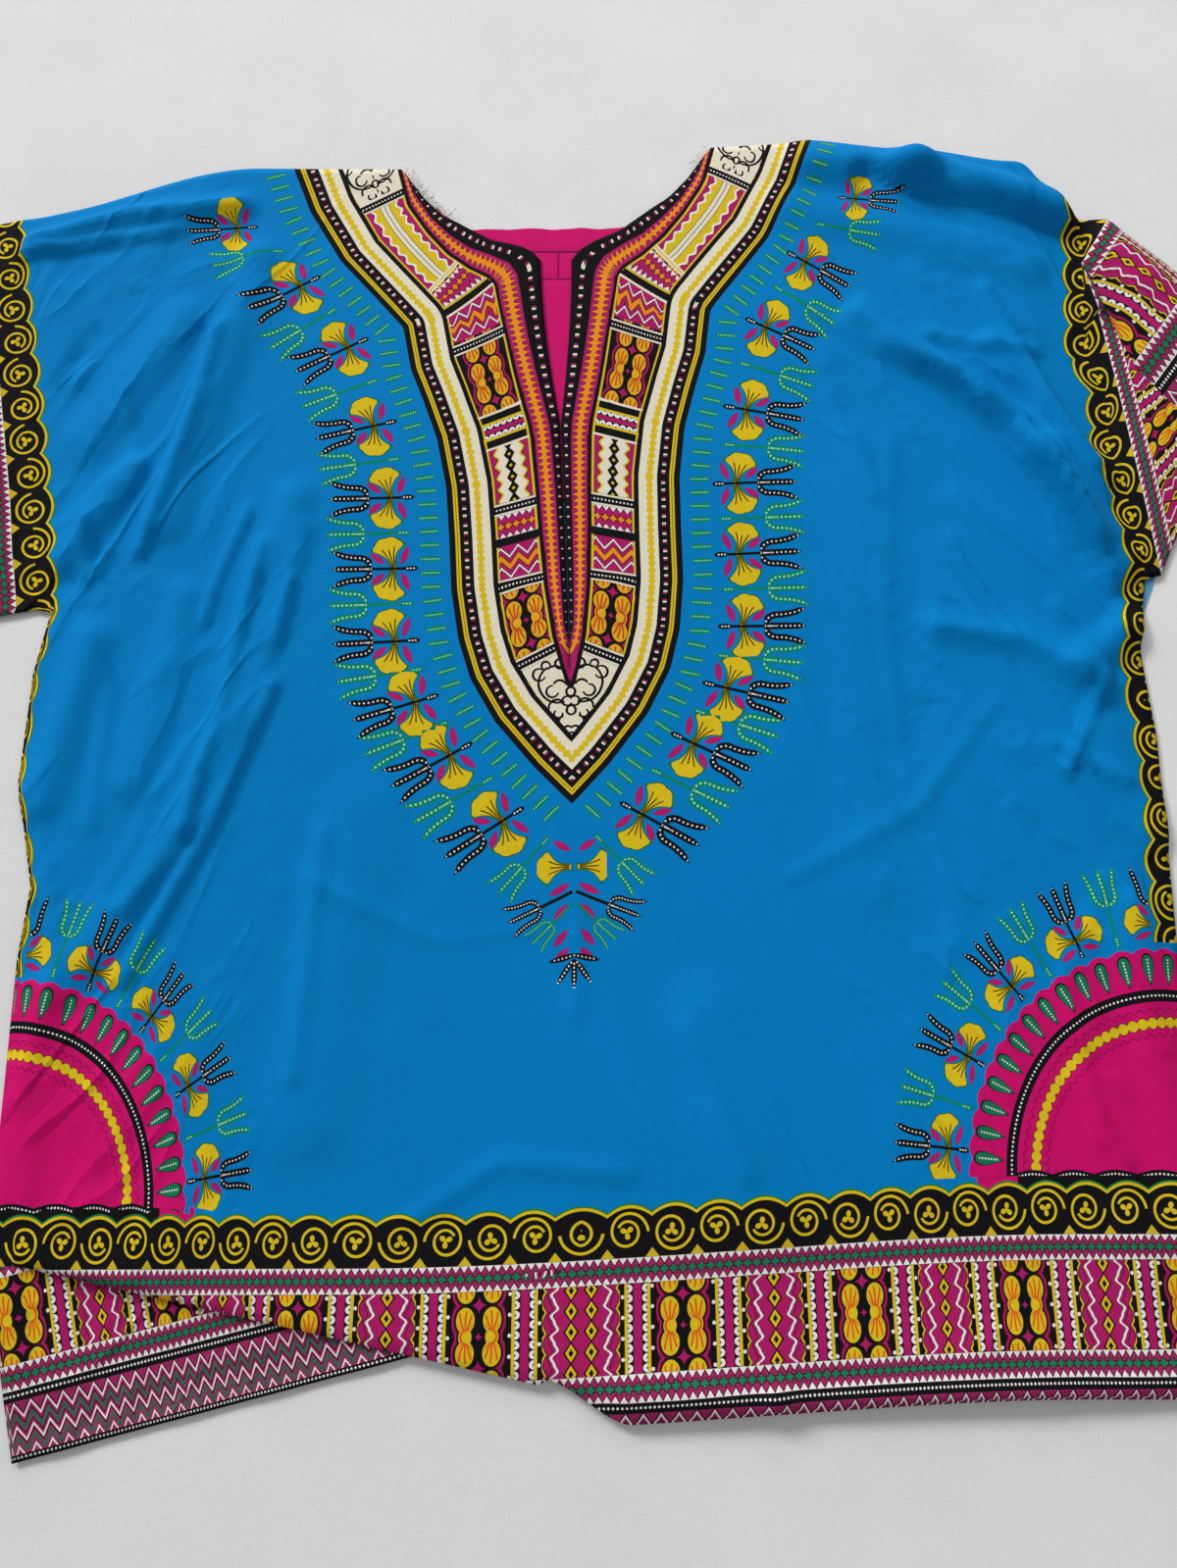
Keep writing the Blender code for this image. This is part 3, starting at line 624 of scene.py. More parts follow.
def in_frames(frames, out, up, middle_out, middle_up, reach):
    """Millimetres across and along the nearest frame, one frame to each face."""
    across = np.zeros(out.shape)
    along = np.full(out.shape, -60.0)
    best = np.full(middle_out.shape, 9.0)
    for x, y, turn, size in frames:
        turn = math.radians(turn)
        way_x, way_y = math.cos(turn), math.sin(turn)
        past = (middle_out - x) * way_x + (middle_up - y) * way_y
        beside = np.abs((middle_out - x) * way_y - (middle_up - y) * way_x)
        score = np.hypot(beside, past - np.clip(past, 0, reach * size)) / size
        nearer = score < best
        best = np.where(nearer, score, best)
        scale = 1000 / size
        across = np.where(nearer[:, None], ((out - x) * way_y - (up - y) * way_x) * scale, across)
        along = np.where(nearer[:, None], ((out - x) * way_x + (up - y) * way_y) * scale, along)
    return across, along


def faces_of(mesh):
    """Each corner's vertex, each face's size and start, and each corner's face."""
    corners = np.zeros(len(mesh.loops), np.int32)
    mesh.loops.foreach_get("vertex_index", corners)
    sizes = np.array([len(face.vertices) for face in mesh.polygons])
    starts = np.concatenate([[0], np.cumsum(sizes)[:-1]])
    return corners, sizes, starts, np.repeat(np.arange(len(sizes)), sizes)


def cut_places(mesh):
    """Each vertex's place on the flat cut."""
    values = np.zeros(len(mesh.vertices) * 3, np.float32)
    mesh.attributes["cut"].data.foreach_get("vector", values)
    return values.reshape(-1, 3).astype(float)


def give(mesh, name, domain, *fields):
    """Stores up to three numbers for each point or corner of the mesh."""
    values = np.zeros((len(fields[0].ravel()), 3), np.float32)
    for axis, field in enumerate(fields):
        values[:, axis] = field.ravel()
    mesh.attributes.new(name, "FLOAT_VECTOR", domain).data.foreach_set("vector", values.ravel())


mesh = bpy.data.meshes.new("printed_front")
mesh.from_pydata(places, [], faces)
give(mesh, "cut", "POINT", *np.array(cuts).T)
front = bpy.data.objects.new("printed_front", mesh)
bpy.context.scene.collection.objects.link(front)
bpy.context.view_layer.objects.active = front
front.select_set(True)
bpy.ops.object.mode_set(mode="EDIT")
bpy.ops.mesh.select_all(action="SELECT")
bpy.ops.mesh.remove_doubles(threshold=0.00001)
bpy.ops.mesh.select_all(action="DESELECT")
bpy.ops.object.mode_set(mode="OBJECT")

# Where the print falls: each point's place in the plaque round the neck, and
# each face's place in its spray, leaf, tick and border.
cut = cut_places(mesh)
out, up = np.abs(cut[:, 0]), cut[:, 1]
from_edge, edge_run = off_line(PLAQUE_EDGE, out, up)
from_chain, _ = off_line(CHAIN_EDGE, out, up)
from_band, band_run = off_line(SLIT_BAND_EDGE, out, up)
from_lip, _ = off_line(LIP, out, up)
_, tile_run = off_line(TILE_LINE, out, up)
inside = -from_edge
width = np.maximum((from_chain - 0.0027) + (inside - 0.0299), 0.001)
across_tile = (from_chain - 0.0027) / width - 0.5
tile_run = tile_run - 0.0355 + TILE_TILT * across_tile * width
give(mesh, "plaque", "POINT", inside * 1000, edge_run * 1000, from_lip * 1000)
give(mesh, "neck_band", "POINT", from_chain * 1000, from_band * 1000, band_run * 1000)
give(mesh, "tile", "POINT", across_tile * width * 1000, tile_run * 1000, width * 1000)

corners, sizes, starts, owner = faces_of(mesh)
middle_out = np.abs(np.add.reduceat(cut[corners, 0], starts) / sizes)
middle_up = np.add.reduceat(cut[corners, 1], starts) / sizes
ticks = frames_along(PLAQUE_EDGE, TICK_AWAY, TICK_PITCH)


def per_corner(frames, reach):
    """in_frames for every corner, judged from the middle of the corner's face."""
    across, along = in_frames(
        frames, out[corners][:, None], up[corners][:, None],
        middle_out[owner], middle_up[owner], reach,
    )
    return across, along


give(mesh, "spray", "CORNER", *per_corner(DARK_SPRAYS, 0.055))
give(mesh, "leaf", "CORNER", *per_corner(GREEN_SPRAYS, 0.055))
give(mesh, "tick", "CORNER", *per_corner(ticks, 0.0))
hem = middle_up < SCALLOP_V + 0.004
border_along = np.where(hem[owner], cut[corners, 0] - 0.006, up[corners] + 0.006)
border_across = np.where(hem[owner], SCALLOP_V - up[corners], out[corners] - BORDER_U)
give(mesh, "border", "CORNER", border_along * 1000, border_across * 1000, hem[owner] * 1.0)

face_edge, _ = off_line(PLAQUE_EDGE, middle_out, middle_up)
face_chain, _ = off_line(CHAIN_EDGE, middle_out, middle_up)
fan_reach = np.hypot(middle_out - FAN_OUT, middle_up - FAN_UP)
FIELD, SPRIGGED, FRAME, TILES, FAN, BAND, COLUMNS, TIP = range(8)
zone = np.full(len(sizes), FIELD)
zone[(face_edge < 0.086) | (fan_reach < 0.205)] = SPRIGGED
zone[face_edge < -0.003] = FRAME
zone[(face_edge < -0.0284) & (face_chain > 0.0014)] = TILES
zone[middle_out > BORDER_U - 0.004] = BAND
zone[(middle_out > BORDER_U + 0.033) & (middle_up > UNDERARM_V)] = COLUMNS
zone[fan_reach < FAN_RADIUS + 0.002] = FAN
zone[hem] = BAND
zone[middle_up < SCALLOP_V - 0.033] = COLUMNS
zone[(middle_out < 0.020) & (middle_up > -0.180) & (middle_up < -0.078)] = TIP
zone[(middle_out < 0.050) & (middle_up > -0.180) & (middle_up < -0.106)] = TIP
mesh.polygons.foreach_set("material_index", zone.astype(np.int32))


class Field:
    """A number that varies over a surface; an expression adds its Math nodes."""

    def __init__(self, tree, socket):
        self.tree, self.socket = tree, socket

    def math(self, operation, *values):
        node = self.tree.nodes.new("ShaderNodeMath")
        node.operation = operation
        for slot, value in zip(node.inputs, values):
            if isinstance(value, Field):
                self.tree.links.new(value.socket, slot)
            else:
                slot.default_value = value
        return Field(self.tree, node.outputs[0])

    def __add__(self, other):
        return self.math("ADD", self, other)

    def __sub__(self, other):
        return self.math("SUBTRACT", self, other)

    def __rsub__(self, other):
        return self.math("SUBTRACT", other, self)

    def __mul__(self, other):
        return self.math("MULTIPLY", self, other)

    def __truediv__(self, other):
        return self.math("DIVIDE", self, other)

    def __rtruediv__(self, other):
        return self.math("DIVIDE", other, self)

    def __pow__(self, other):
        return self.math("POWER", self, other)

    def __abs__(self):
        return self.math("ABSOLUTE", self)

    def __lt__(self, other):
        return self.math("LESS_THAN", self, other)

    def __gt__(self, other):
        return self.math("GREATER_THAN", self, other)

    def __and__(self, other):
        return self.math("MULTIPLY", self, other)

    def __or__(self, other):
        return self.math("MAXIMUM", self, other)

    __radd__, __rmul__ = __add__, __mul__

    def most(self, other):
        """This number, but at most the other one."""
        return self.math("MINIMUM", self, other)

    def least(self, other):
        """This number, but at least the other one."""
        return self.math("MAXIMUM", self, other)

    def between(self, low, high):
        return (self > low) & (self < high)

    def near(self, place, half):
        return abs(self - place) < half

    def part(self):
        return self.math("FRACT", self)

    def every(self, pitch, first=0.0):
        """Distance from the nearest of the places that come at this pitch."""
        return ((self - (first - pitch / 2)) / pitch).part() * pitch - pitch / 2

    def saw(self, pitch, first=0.0):
        """A zigzag that runs from 0 at each place to 1 half way to the next."""
        return abs(self.every(pitch, first)) * (2 / pitch)

    def to_the(self, base):
        """The base raised to this power."""
        return self.math("POWER", base, self)

    def length(self, other):
        return self.math("SQRT", self * self + other * other)

    def angle(self, other):
        return self.math("ARCTAN2", self, other)

    def wave(self, pitch):
        return self.math("SINE", self * (2 * math.pi / pitch))


# Threads of the weave are WEAVE_PITCH apart, and a bump of 1 is BUMP_DEPTH high.
WEAVE_PITCH = 0.0011
BUMP_DEPTH = 0.0004


class Finish:
    """The nodes of one material."""

    def __init__(self, name, roughness):
        self.material = bpy.data.materials.new(name)
        self.material.use_nodes = True
        self.tree = self.material.node_tree
        self.shader = self.tree.nodes["Principled BSDF"]
        self.shader.inputs["Roughness"].default_value = roughness

    def node(self, kind, settings, values, output=0):
        node = self.tree.nodes.new("ShaderNode" + kind)
        for setting, value in settings.items():
            setattr(node, setting, value)
        for slot, value in values.items():
            if isinstance(value, Field):
                self.tree.links.new(value.socket, node.inputs[slot])
            else:
                node.inputs[slot].default_value = value
        return Field(self.tree, node.outputs[output])

    def place(self, name):
        """The three numbers stored at a point of the cloth under this name."""
        return self.split(self.node("Attribute", {"attribute_name": name}, {}, "Vector"))

    def spot(self):
        """The place of a point of the object."""
        return self.node("TexCoord", {}, {}, "Object")

    def split(self, vector):
        """The three numbers of a vector."""
        parts = self.tree.nodes.new("ShaderNodeSeparateXYZ")
        self.tree.links.new(vector.socket, parts.inputs[0])
        return [Field(self.tree, part) for part in parts.outputs]

    def print_on(self, colour, *layers):
        """The colour with each layer's ink wherever that layer's mask is 1."""
        for mask, ink in layers:
            under, over = [c if isinstance(c, Field) else (*c, 1.0) for c in (colour, ink)]
            values = {0: mask, 6: under, 7: over}
            colour = self.node("Mix", {"data_type": "RGBA"}, values, 2)
        return colour

    def finish(self, colour, weave=0.5, creases=10.0):
        """Joins the colour to the shader over a plain weave, its slubs and creases."""
        spot = self.spot()
        across, along, _ = self.split(spot)
        noise = {"Vector": spot, "Scale": 11.0, "Detail": 4.0, "Roughness": 0.6}
        cloud = self.node("TexNoise", {}, noise)
        slub = self.node("TexNoise", {}, {"Vector": spot, "Scale": 520.0, "Detail": 2.0})
        threads = across.wave(WEAVE_PITCH) * along.wave(WEAVE_PITCH)
        shade = 0.83 + cloud * 0.16 + slub * 0.16
        grey = self.node("CombineColor", {}, {"Red": shade, "Green": shade, "Blue": shade})
        under = colour if isinstance(colour, Field) else (*colour, 1.0)
        values = {0: 1.0, 6: under, 7: grey}
        tinted = self.node("Mix", {"data_type": "RGBA", "blend_type": "MULTIPLY"}, values, 2)
        self.tree.links.new(tinted.socket, self.shader.inputs["Base Color"])
        # Fine creases run down and out on both sides of the shirt, in patches, over
        # the ones that are in its shape.
        out = abs(across)
        beside, running = out * 0.87 + along * 0.5, along * 0.87 - out * 0.5
        lines = {"X": beside * 25.0, "Y": running * 6.0, "Z": across * 0.7}
        lines = self.node("CombineXYZ", {}, lines)
        lines = {"Vector": lines, "Scale": 1.0, "Detail": 1.5, "Distortion": 0.5}
        crest = (1.0 - abs(self.node("TexNoise", {}, lines) - 0.5) * 13.0).least(0.0)
        patch = ((cloud - 0.40) * 7.0).least(0.0).most(1.0)
        patch = patch * ((out - 0.10) * 7.0).least(0.10).most(1.0)
        height = threads * 0.4 + slub + cloud * 5.0 + crest * patch * creases
        bump = {"Strength": weave, "Distance": BUMP_DEPTH, "Height": height}
        normal = self.node("Bump", {}, bump)
        self.tree.links.new(normal.socket, self.shader.inputs["Normal"])
        self.shader.inputs["Specular IOR Level"].default_value = 0.06
        return self.material


# Inks of the print.
BLUE = (0.0, 0.190, 0.500)
BLACK = (0.006, 0.006, 0.007)
YELLOW = (0.66, 0.47, 0.012)
CREAM = (0.74, 0.68, 0.53)
WHITE = (0.76, 0.73, 0.70)
CERISE = (0.56, 0.004, 0.130)
MAGENTA = (0.40, 0.010, 0.120)
PURPLE = (0.31, 0.020, 0.110)
ORANGE = (0.78, 0.26, 0.012)
RED = (0.50, 0.055, 0.012)
MAROON = (0.080, 0.006, 0.018)
LEAF = (0.006, 0.190, 0.095)
TEAL = (0.002, 0.205, 0.140)
PALE = (0.28, 0.66, 0.42)
PINE = (0.02, 0.13, 0.080)
DROP_GREEN = (0.006, 0.17, 0.075)
EDGE_GREEN = (0.01, 0.20, 0.05)
PETAL_EDGE = (0.008, 0.13, 0.030)
STAMEN = (0.07, 0.035, 0.005)
OCHRE = (0.20, 0.13, 0.01)
DULL_YELLOW = (0.60, 0.42, 0.012)
GOLD = (0.70, 0.37, 0.015)
RUST = (0.66, 0.10, 0.012)
VIOLET = (0.10, 0.02, 0.16)
PINK = (0.44, 0.010, 0.13)
WINE = (0.16, 0.004, 0.05)

# The motifs of the print.  Each is drawn in millimetres of the flat cloth, from
# how far a point is across and along the motif.


def disc(across, along, radius):
    return across * across + along * along < radius * radius


def oval(across, along, half_width, half_length):
    return (across / half_width).length(along / half_length) < 1.0


def fork(across, along, grow, base=35.0):
    """How far a point is outside a fork's three tines and from their middle
    lines, and the run along them.  The tines part at the base and are as thick
    as grow on each side of their middle lines."""
    beside = abs(across)
    above = (along - base).least(0.0)
    round_foot = (base - along).least(0.0)
    curve = 7.6 + 0.0125 * above * above
    outer = abs(beside.length(round_foot) - curve)
    middle = beside + (along < base - 6.0) * 50.0
    away = outer.most(middle)
    run = above - round_foot.angle(beside) * 7.6
    half_thick = (grow - 0.006 * above).most((base + 19.5 - along) * 0.45)
    return away - half_thick, away, run


def blossom(finish, under, across, along, size=1.0):
    """A yellow bell that opens out from its stem, with curled stamens."""
    x, y = across / size, along / size
    turn = y.angle(x - 10.0)
    rim = ((x - 13.0) / 6.6).length(y / 8.6) - abs((turn * 4.0).wave(2 * math.pi)) * 0.09
    flare = abs(y) - 1.3 - x * x * x * 0.0035
    stalk = flare.least(abs(x - 6.5) - 6.5)
    bell = stalk.most(((rim - 0.94) * 8.0).least(12.9 - x))
    colour = finish.print_on(
        under,
        (bell < 0.8, PETAL_EDGE),
        (bell < 0.0, YELLOW),
    )
    spread = abs(abs(y) - 0.8 - x * x * 0.018).most(abs(y) + (x > 12.0) * 9.0)
    return finish.print_on(colour, ((spread < 0.40) & x.between(1.0, 13.0), STAMEN))


def leaf(finish, under, across, along, half_width=1.9, half_length=6.6):
    """A magenta leaf with a thin darker edge."""
    belly = 1.0 - (along / half_length) * (along / half_length)
    edge = abs(across) - half_width * belly
    return finish.print_on(
        under,
        ((edge < 0.35) & (abs(along) < half_length + 0.4), VIOLET),
        ((edge < 0.0) & (abs(along) < half_length), PINK),
    )


def spray(finish, under, across, along):
    """A dark fork on a stem, with two yellow flowers and four magenta leaves."""
    beside = abs(across)
    low_x, low_y = beside * -0.34 - along * 0.94 + 8.6, beside * 0.94 - along * 0.34 - 6.4
    high_x, high_y = beside * 0.76 - along * 0.65 + 9.9, beside * 0.65 + along * 0.76 - 22.4
    colour = leaf(finish, under, low_x, low_y)
    colour = leaf(finish, colour, high_x, high_y, 1.9, 5.6)
    up = along - 13.0
    colour = blossom(finish, colour, beside * 0.97 + up * 0.24, up * 0.97 - beside * 0.24, 1.12)
    edge, away, run = fork(across, along, 2.3)
    stem = (beside < 1.0) & along.between(1.5, 28.5)
    head = oval(across, along - 2.0, 1.9, 4.4)
    tines = (edge < 0.0) & along.between(27.0, 55.0) & (beside < 13.5)
    colour = finish.print_on(colour, (stem | head | tines, BLACK))
    bead = disc(away, run.every(2.9), 0.62) & along.between(27.5, 52.5)
    eye = disc(across, along.every(2.0, 0.4), 0.6) & along.between(-1.0, 5.6)
    return finish.print_on(colour, ((bead & (beside < 12.5)) | eye, WHITE))


def leaf_fork(finish, under, across, along):
    """A green fork with pale beads, on a faint stem."""
    edge, away, run = fork(across, along, 2.4, base=37.0)
    beside = abs(across)
    stem = (beside < 1.2) & along.between(6.0, 31.0)
    tines = (edge < 0.0) & along.between(29.0, 57.0) & (beside < 12.8)
    head = oval(across, along - 4.0, 1.9, 5.0)
    colour = finish.print_on(under, (stem | tines | head, TEAL))
    bead = disc(away, run.every(2.9), 0.80) & along.between(29.5, 54.0)
    eye = disc(across, along.every(2.0), 0.6) & along.between(1.0, 7.5)
    return finish.print_on(colour, ((bead & (beside < 12.0)) | eye, PALE))


TIP_LEAVES = [
    # up, lean in radians, size
    (-84.0, 0.55, 0.9), (-110.5, -0.5, 1.05), (-124.5, -0.9, 1.0), (-139.5, -0.9, 0.95),
    (-149.5, -0.8, 0.9),
]
TIP_FORKS = [
    # out, up, turn, size, ink, dots
    (1.0, -112.0, -24.0, 0.78, BLACK, WHITE), (1.0, -119.0, -44.0, 0.62, TEAL, PALE),
]


def tip_spray(finish, under, out, up):
    """Below the tip of the plaque: two flowers, leaves down the middle, sprigs."""
    colour = under
    for place_up, lean, size in TIP_LEAVES:
        x, y = out - 8.4 * size, up - place_up
        cosine, sine = math.cos(lean), math.sin(lean)
        colour = leaf(finish, colour, y * cosine - x * sine, x * cosine + y * sine, 1.9, 6.4 * size)
    colour = blossom(finish, colour, out - 2.0, up + 97.0, 1.05)
    for x, y, turn, size, ink, dot in TIP_FORKS:
        turn = math.radians(turn)
        cosine, sine = math.cos(turn) / size, math.sin(turn) / size
        along = (out - x) * cosine + (up - y) * sine
        across = (out - x) * sine - (up - y) * cosine
        edge, away, run = fork(across, along, 2.1)
        shape = (edge < 0.0) & along.between(27.0, 55.0) & (abs(across) < 13.5)
        colour = finish.print_on(
            colour,
            (shape | ((abs(across) < 1.3) & along.between(0.0, 29.0)), ink),
        )
        bead = disc(away, run.every(2.3), 0.6) & along.between(27.5, 53.0)
        colour = finish.print_on(colour, (bead & (abs(across) < 12.5), dot))
    down = -152.5 - up
    ray = out.angle(down + 1.0)
    away = abs(ray.every(0.60)) * out.length(down + 1.0)
    reach = out.length(down)
    taper = 1.7 - (reach - 12.0).least(0.0) * 0.3
    shape = (away < taper) & (reach < 17.5 + (ray < 0.2) * 2.0) & (ray < 0.9)
    off_arm = down + 1.6 - (out - 5.0) * 0.22
    arm = oval(out - 6.5, off_arm, 8.0, 1.9)
    colour = finish.print_on(colour, (shape | arm, BLACK))
    bead = disc(away, reach.every(2.3), 0.55) & (ray < 0.9) & reach.between(1.5, 16.5)
    bead = bead | (disc(out.every(2.3), off_arm, 0.5) & (out < 13.0))
    return finish.print_on(colour, (bead, WHITE))


def beans(finish, under, across, along, gold, stripe, half=6.9):
    """Butterflies of paired beans with stars between; along is 0 at a waist."""
    beside = abs(across) - half
    up_wing = abs(along.every(31.6))
    lobe = (beside / 5.0).length((up_wing - 8.3) / 6.5)
    waist = (beside / 3.6).length(up_wing / 4.6)
    wings = lobe.most(waist)
    around = lobe.most((beside / 3.6).length(up_wing / 4.6) * 0.95)
    colour = finish.print_on(
        under,
        ((around < 1.62) & (beside > -1.0), MAROON),
        ((around < 1.50) & (beside > -1.0), MAGENTA),
        ((around < 1.28) & (beside > -1.0), MAROON),
        (around < 1.14, BLACK),
        (wings < 1.0, gold),
    )
    reach, turn = up_wing.length(beside + 1.2), (beside + 1.2).angle(up_wing)
    ribs = abs((turn + reach * 0.02).every(0.30)) * reach < 0.55
    ribs = ribs & reach.between(3.0, 13.0) & (wings < 0.84)
    colour = finish.print_on(colour, (ribs, stripe))
    big = abs(across) ** 0.6 + abs(along.every(31.6, 15.8)) ** 0.6 < 2.45
    small = abs(across) ** 0.6 + abs(along.every(31.6)) ** 0.6 < 1.70
    return finish.print_on(colour, (big | small, MAGENTA))


def lace(finish, under, across, along, half=7.1, pitch=5.0):
    """Half rounds of white against two yellow lines, on magenta."""
    beside = abs(across)
    colour = finish.print_on(
        under,
        (beside < half, YELLOW),
        (beside < half - 1.7, BLACK),
        (beside < half - 4.8, MAGENTA),
    )
    inward = (half - 1.8 - beside) * 0.85
    around = inward.length(along.every(pitch)) + (beside > half - 1.8) * 9.0
    return finish.print_on(
        colour,
        (around < 2.85, BLACK),
        (around < 2.25, WHITE),
        (around < 0.62, BLACK),
    )


def chain_stripe(finish, across, along, ground, chain, half=6.7):
    """A stripe with white teeth along both edges and a chain of crosses."""
    beside = abs(across)
    tooth = abs(along.every(4.6)) * 1.5 + (half - beside)
    colour = finish.print_on(
        ground,
        ((beside < half) & (tooth < 4.5), MAROON),
        ((tooth < 3.5) & (beside < half - 0.2), WHITE),
    )
    step = abs(along.every(5.1))
    cross = (beside.most(step) < 0.80) & (beside.least(step) < 2.05)
    rim = (beside.most(step) < 1.45) & (beside.least(step) < 2.55)
    return finish.print_on(
        colour,
        (rim | (beside + step < 2.6), MAROON),
        (cross | (beside + step < 1.7), chain),
    )


def diamonds(finish, under, across, along, pitch, rim, core, wide=3.1):
    """A chain of diamonds joined by dark crossing lines."""
    beside, step = abs(across), abs(along.every(pitch))
    size = beside / wide + step / 4.5
    cross = abs(beside * 1.35 - abs(along.every(pitch, pitch / 2))) < 0.62
    return finish.print_on(
        under,
        ((cross & (beside < 4.8)) | (size < 1.20), BLACK),
        (size < 1.0, rim),
        (size < 0.46, core),
    )


def squares(finish, under, across, along, half=1.25, pitch=6.0):
    """White and magenta squares by turns."""
    square = (abs(across) < half) & (abs(along.every(pitch)) < half)
    white = (along / (2 * pitch)).part() < 0.5
    return finish.print_on(
        under,
        (square, PURPLE),
        (square & white, CREAM),
    )

# Bands of the plaque's frame: how far inside its edge each starts or lies.
PLAQUE_LINE = (3.9, 6.9)
SQUARES_IN = 10.9
CREAM_FROM = 14.9
JAG_IN = 19.8
RULE_FROM, RULE_TO = 27.0, 30.2
CHAIN_RULE = 2.7

# Plain field of the front.
COTTON_ROUGHNESS = 0.82
plain = Finish("blue_cotton", COTTON_ROUGHNESS)
mesh.materials.append(plain.finish(BLUE))

# Field round the plaque and the corner fans, with its sprays and ticks.
sprigged = Finish("sprigged_cotton", COTTON_ROUGHNESS)
tick_across, tick_along, _ = sprigged.place("tick")
colour = sprigged.print_on(BLUE, (oval(tick_across, tick_along, 2.2, 7.2), TEAL))
bead = disc(tick_across, tick_along.every(1.8), 0.52) & (abs(tick_along) < 5.6)
colour = sprigged.print_on(colour, (bead, PALE))
leaf_across, leaf_along, _ = sprigged.place("leaf")
colour = leaf_fork(sprigged, colour, leaf_across, leaf_along)
spray_across, spray_along, _ = sprigged.place("spray")
colour = spray(sprigged, colour, spray_across, spray_along)
inside, _, _ = sprigged.place("plaque")
colour = sprigged.print_on(
    colour,
    (inside > 0.0, BLACK),
    (inside.between(*PLAQUE_LINE), YELLOW),
)
mesh.materials.append(sprigged.finish(colour))

# Frame of the plaque, and the bands that follow the slit and the neckline.
framed = Finish("framed_cotton", COTTON_ROUGHNESS)
inside, edge_run, lip = framed.place("plaque")
from_chain, from_band, band_run = framed.place("neck_band")
colour = framed.print_on(
    BLUE,
    (inside > 0.0, BLACK),
    (inside.between(*PLAQUE_LINE), YELLOW),
    (inside.near(5.4, 0.28), OCHRE),
)
colour = squares(framed, colour, inside - SQUARES_IN, edge_run)
colour = framed.print_on(colour, (inside > CREAM_FROM, CREAM))
jag = 0.9 + edge_run.saw(4.6) * 1.5 + edge_run.saw(7.3) * 0.5
colour = framed.print_on(
    colour,
    (abs(inside - JAG_IN) < jag, YELLOW),
    (inside > RULE_FROM, BLACK),
    ((inside > 29.9) & (from_chain > CHAIN_RULE), YELLOW),
    (from_chain < CHAIN_RULE, BLACK),
)
CHAIN_HALF, BEAD_PITCH = 5.4, 7.3
width = (from_band - from_chain).least(0.5)
beside = abs(from_band / width - 0.5) * 12.5
colour = framed.print_on(colour, (from_chain < 0.0, MAGENTA))
bite = ((CHAIN_HALF - beside) / 3.5).length(band_run.every(4.6) / 1.75)
on_band = from_chain < 0.0
colour = framed.print_on(
    colour,
    ((beside < CHAIN_HALF) & on_band, MAROON),
    ((beside < 5.0) & (bite > 1.14) & on_band, ORANGE),
    ((bite < 0.98) & on_band, MAGENTA),
    (from_band < 0.0, BLACK),
)
slit_width = (lip - from_band).least(0.5)
half = (slit_width * 0.16).most(1.5)
square = (abs(lip - slit_width * 0.45) < half) & (abs(band_run.every(BEAD_PITCH)) < half)
square = square & (from_band < 0.0)
colour = framed.print_on(
    colour,
    (square, PURPLE),
    (square & ((band_run / (2 * BEAD_PITCH)).part() < 0.5), CREAM),
)
mesh.materials.append(framed.finish(colour))

# Tiles of the plaque, one above another on each side of the slit.  Each is at a
# height up the column, and some come again that much further up its upper half.
UPPER_FROM = 150.0
BEANS_AT, BEANS_AGAIN = 63.5, 173.0
TEETH_AT, TEETH_AGAIN, TEETH_HALF = 105.0, 179.5, 12.3
STRIPE_AT, STRIPE_AGAIN, STRIPE_HALF = 130.5, 182.0, 8.2
DIAMONDS_FROM, DIAMONDS_TO, DIAMOND_PITCH = 147.0, 187.0, 8.2
LACE_FROM, LACE_AT, LACE_TO = 188.0, 200.3, 211.5
VINE_FROM = 322.0
BEAD_ROWS = (37.7, 89.5, 142.7, 266.3, 400.0)
TIP_TO, SCROLLS_FROM = 33.5, 404.0
tiled = Finish("tiled_cotton", COTTON_ROUGHNESS)
inside, _, _ = tiled.place("plaque")
from_chain, _, _ = tiled.place("neck_band")
across, along, width = tiled.place("tile")
beside = abs(across)
upper = along > UPPER_FROM
colour = beans(tiled, BLACK, across, along - BEANS_AT - upper * BEANS_AGAIN, GOLD, RED)
local = along - TEETH_AT - upper * TEETH_AGAIN
zig = local + across.saw(11.5) * 6.8 - 3.4
teeth = tiled.print_on(
    MAGENTA,
    (abs(zig) < 3.0, MAROON),
    (abs(zig) < 2.0, ORANGE),
    (abs(abs(zig) - 7.0) < 1.6, MAROON),
    (abs(abs(zig) - 7.0) < 0.8, WHITE),
)
colour = tiled.print_on(colour, (abs(local) < TEETH_HALF, teeth))
local = along - STRIPE_AT - upper * STRIPE_AGAIN
stripe = chain_stripe(tiled, local, across, MAGENTA, ORANGE, half=STRIPE_HALF)
colour = tiled.print_on(colour, (abs(local) < STRIPE_HALF, stripe))
row = lace(tiled, BLACK, along - LACE_AT, across, half=6.4, pitch=4.6)
colour = tiled.print_on(colour, (along.between(LACE_FROM, LACE_TO), row))
vine = beside - 7.2 - along.wave(8.6) * 1.3
body = tiled.print_on(
    MAGENTA,
    (vine < 2.6, BLACK),
    (vine < 2.0, YELLOW),
    (vine < 0.6, CREAM),
)
body = diamonds(tiled, body, across, along, DIAMOND_PITCH, BLACK, BLACK)
body = tiled.print_on(body, (disc(across, along.every(DIAMOND_PITCH), 1.0), YELLOW))
colour = tiled.print_on(colour, (along.between(DIAMONDS_FROM, DIAMONDS_TO), body))
vine = beside - 8.8 - along.wave(9.4) * 1.2
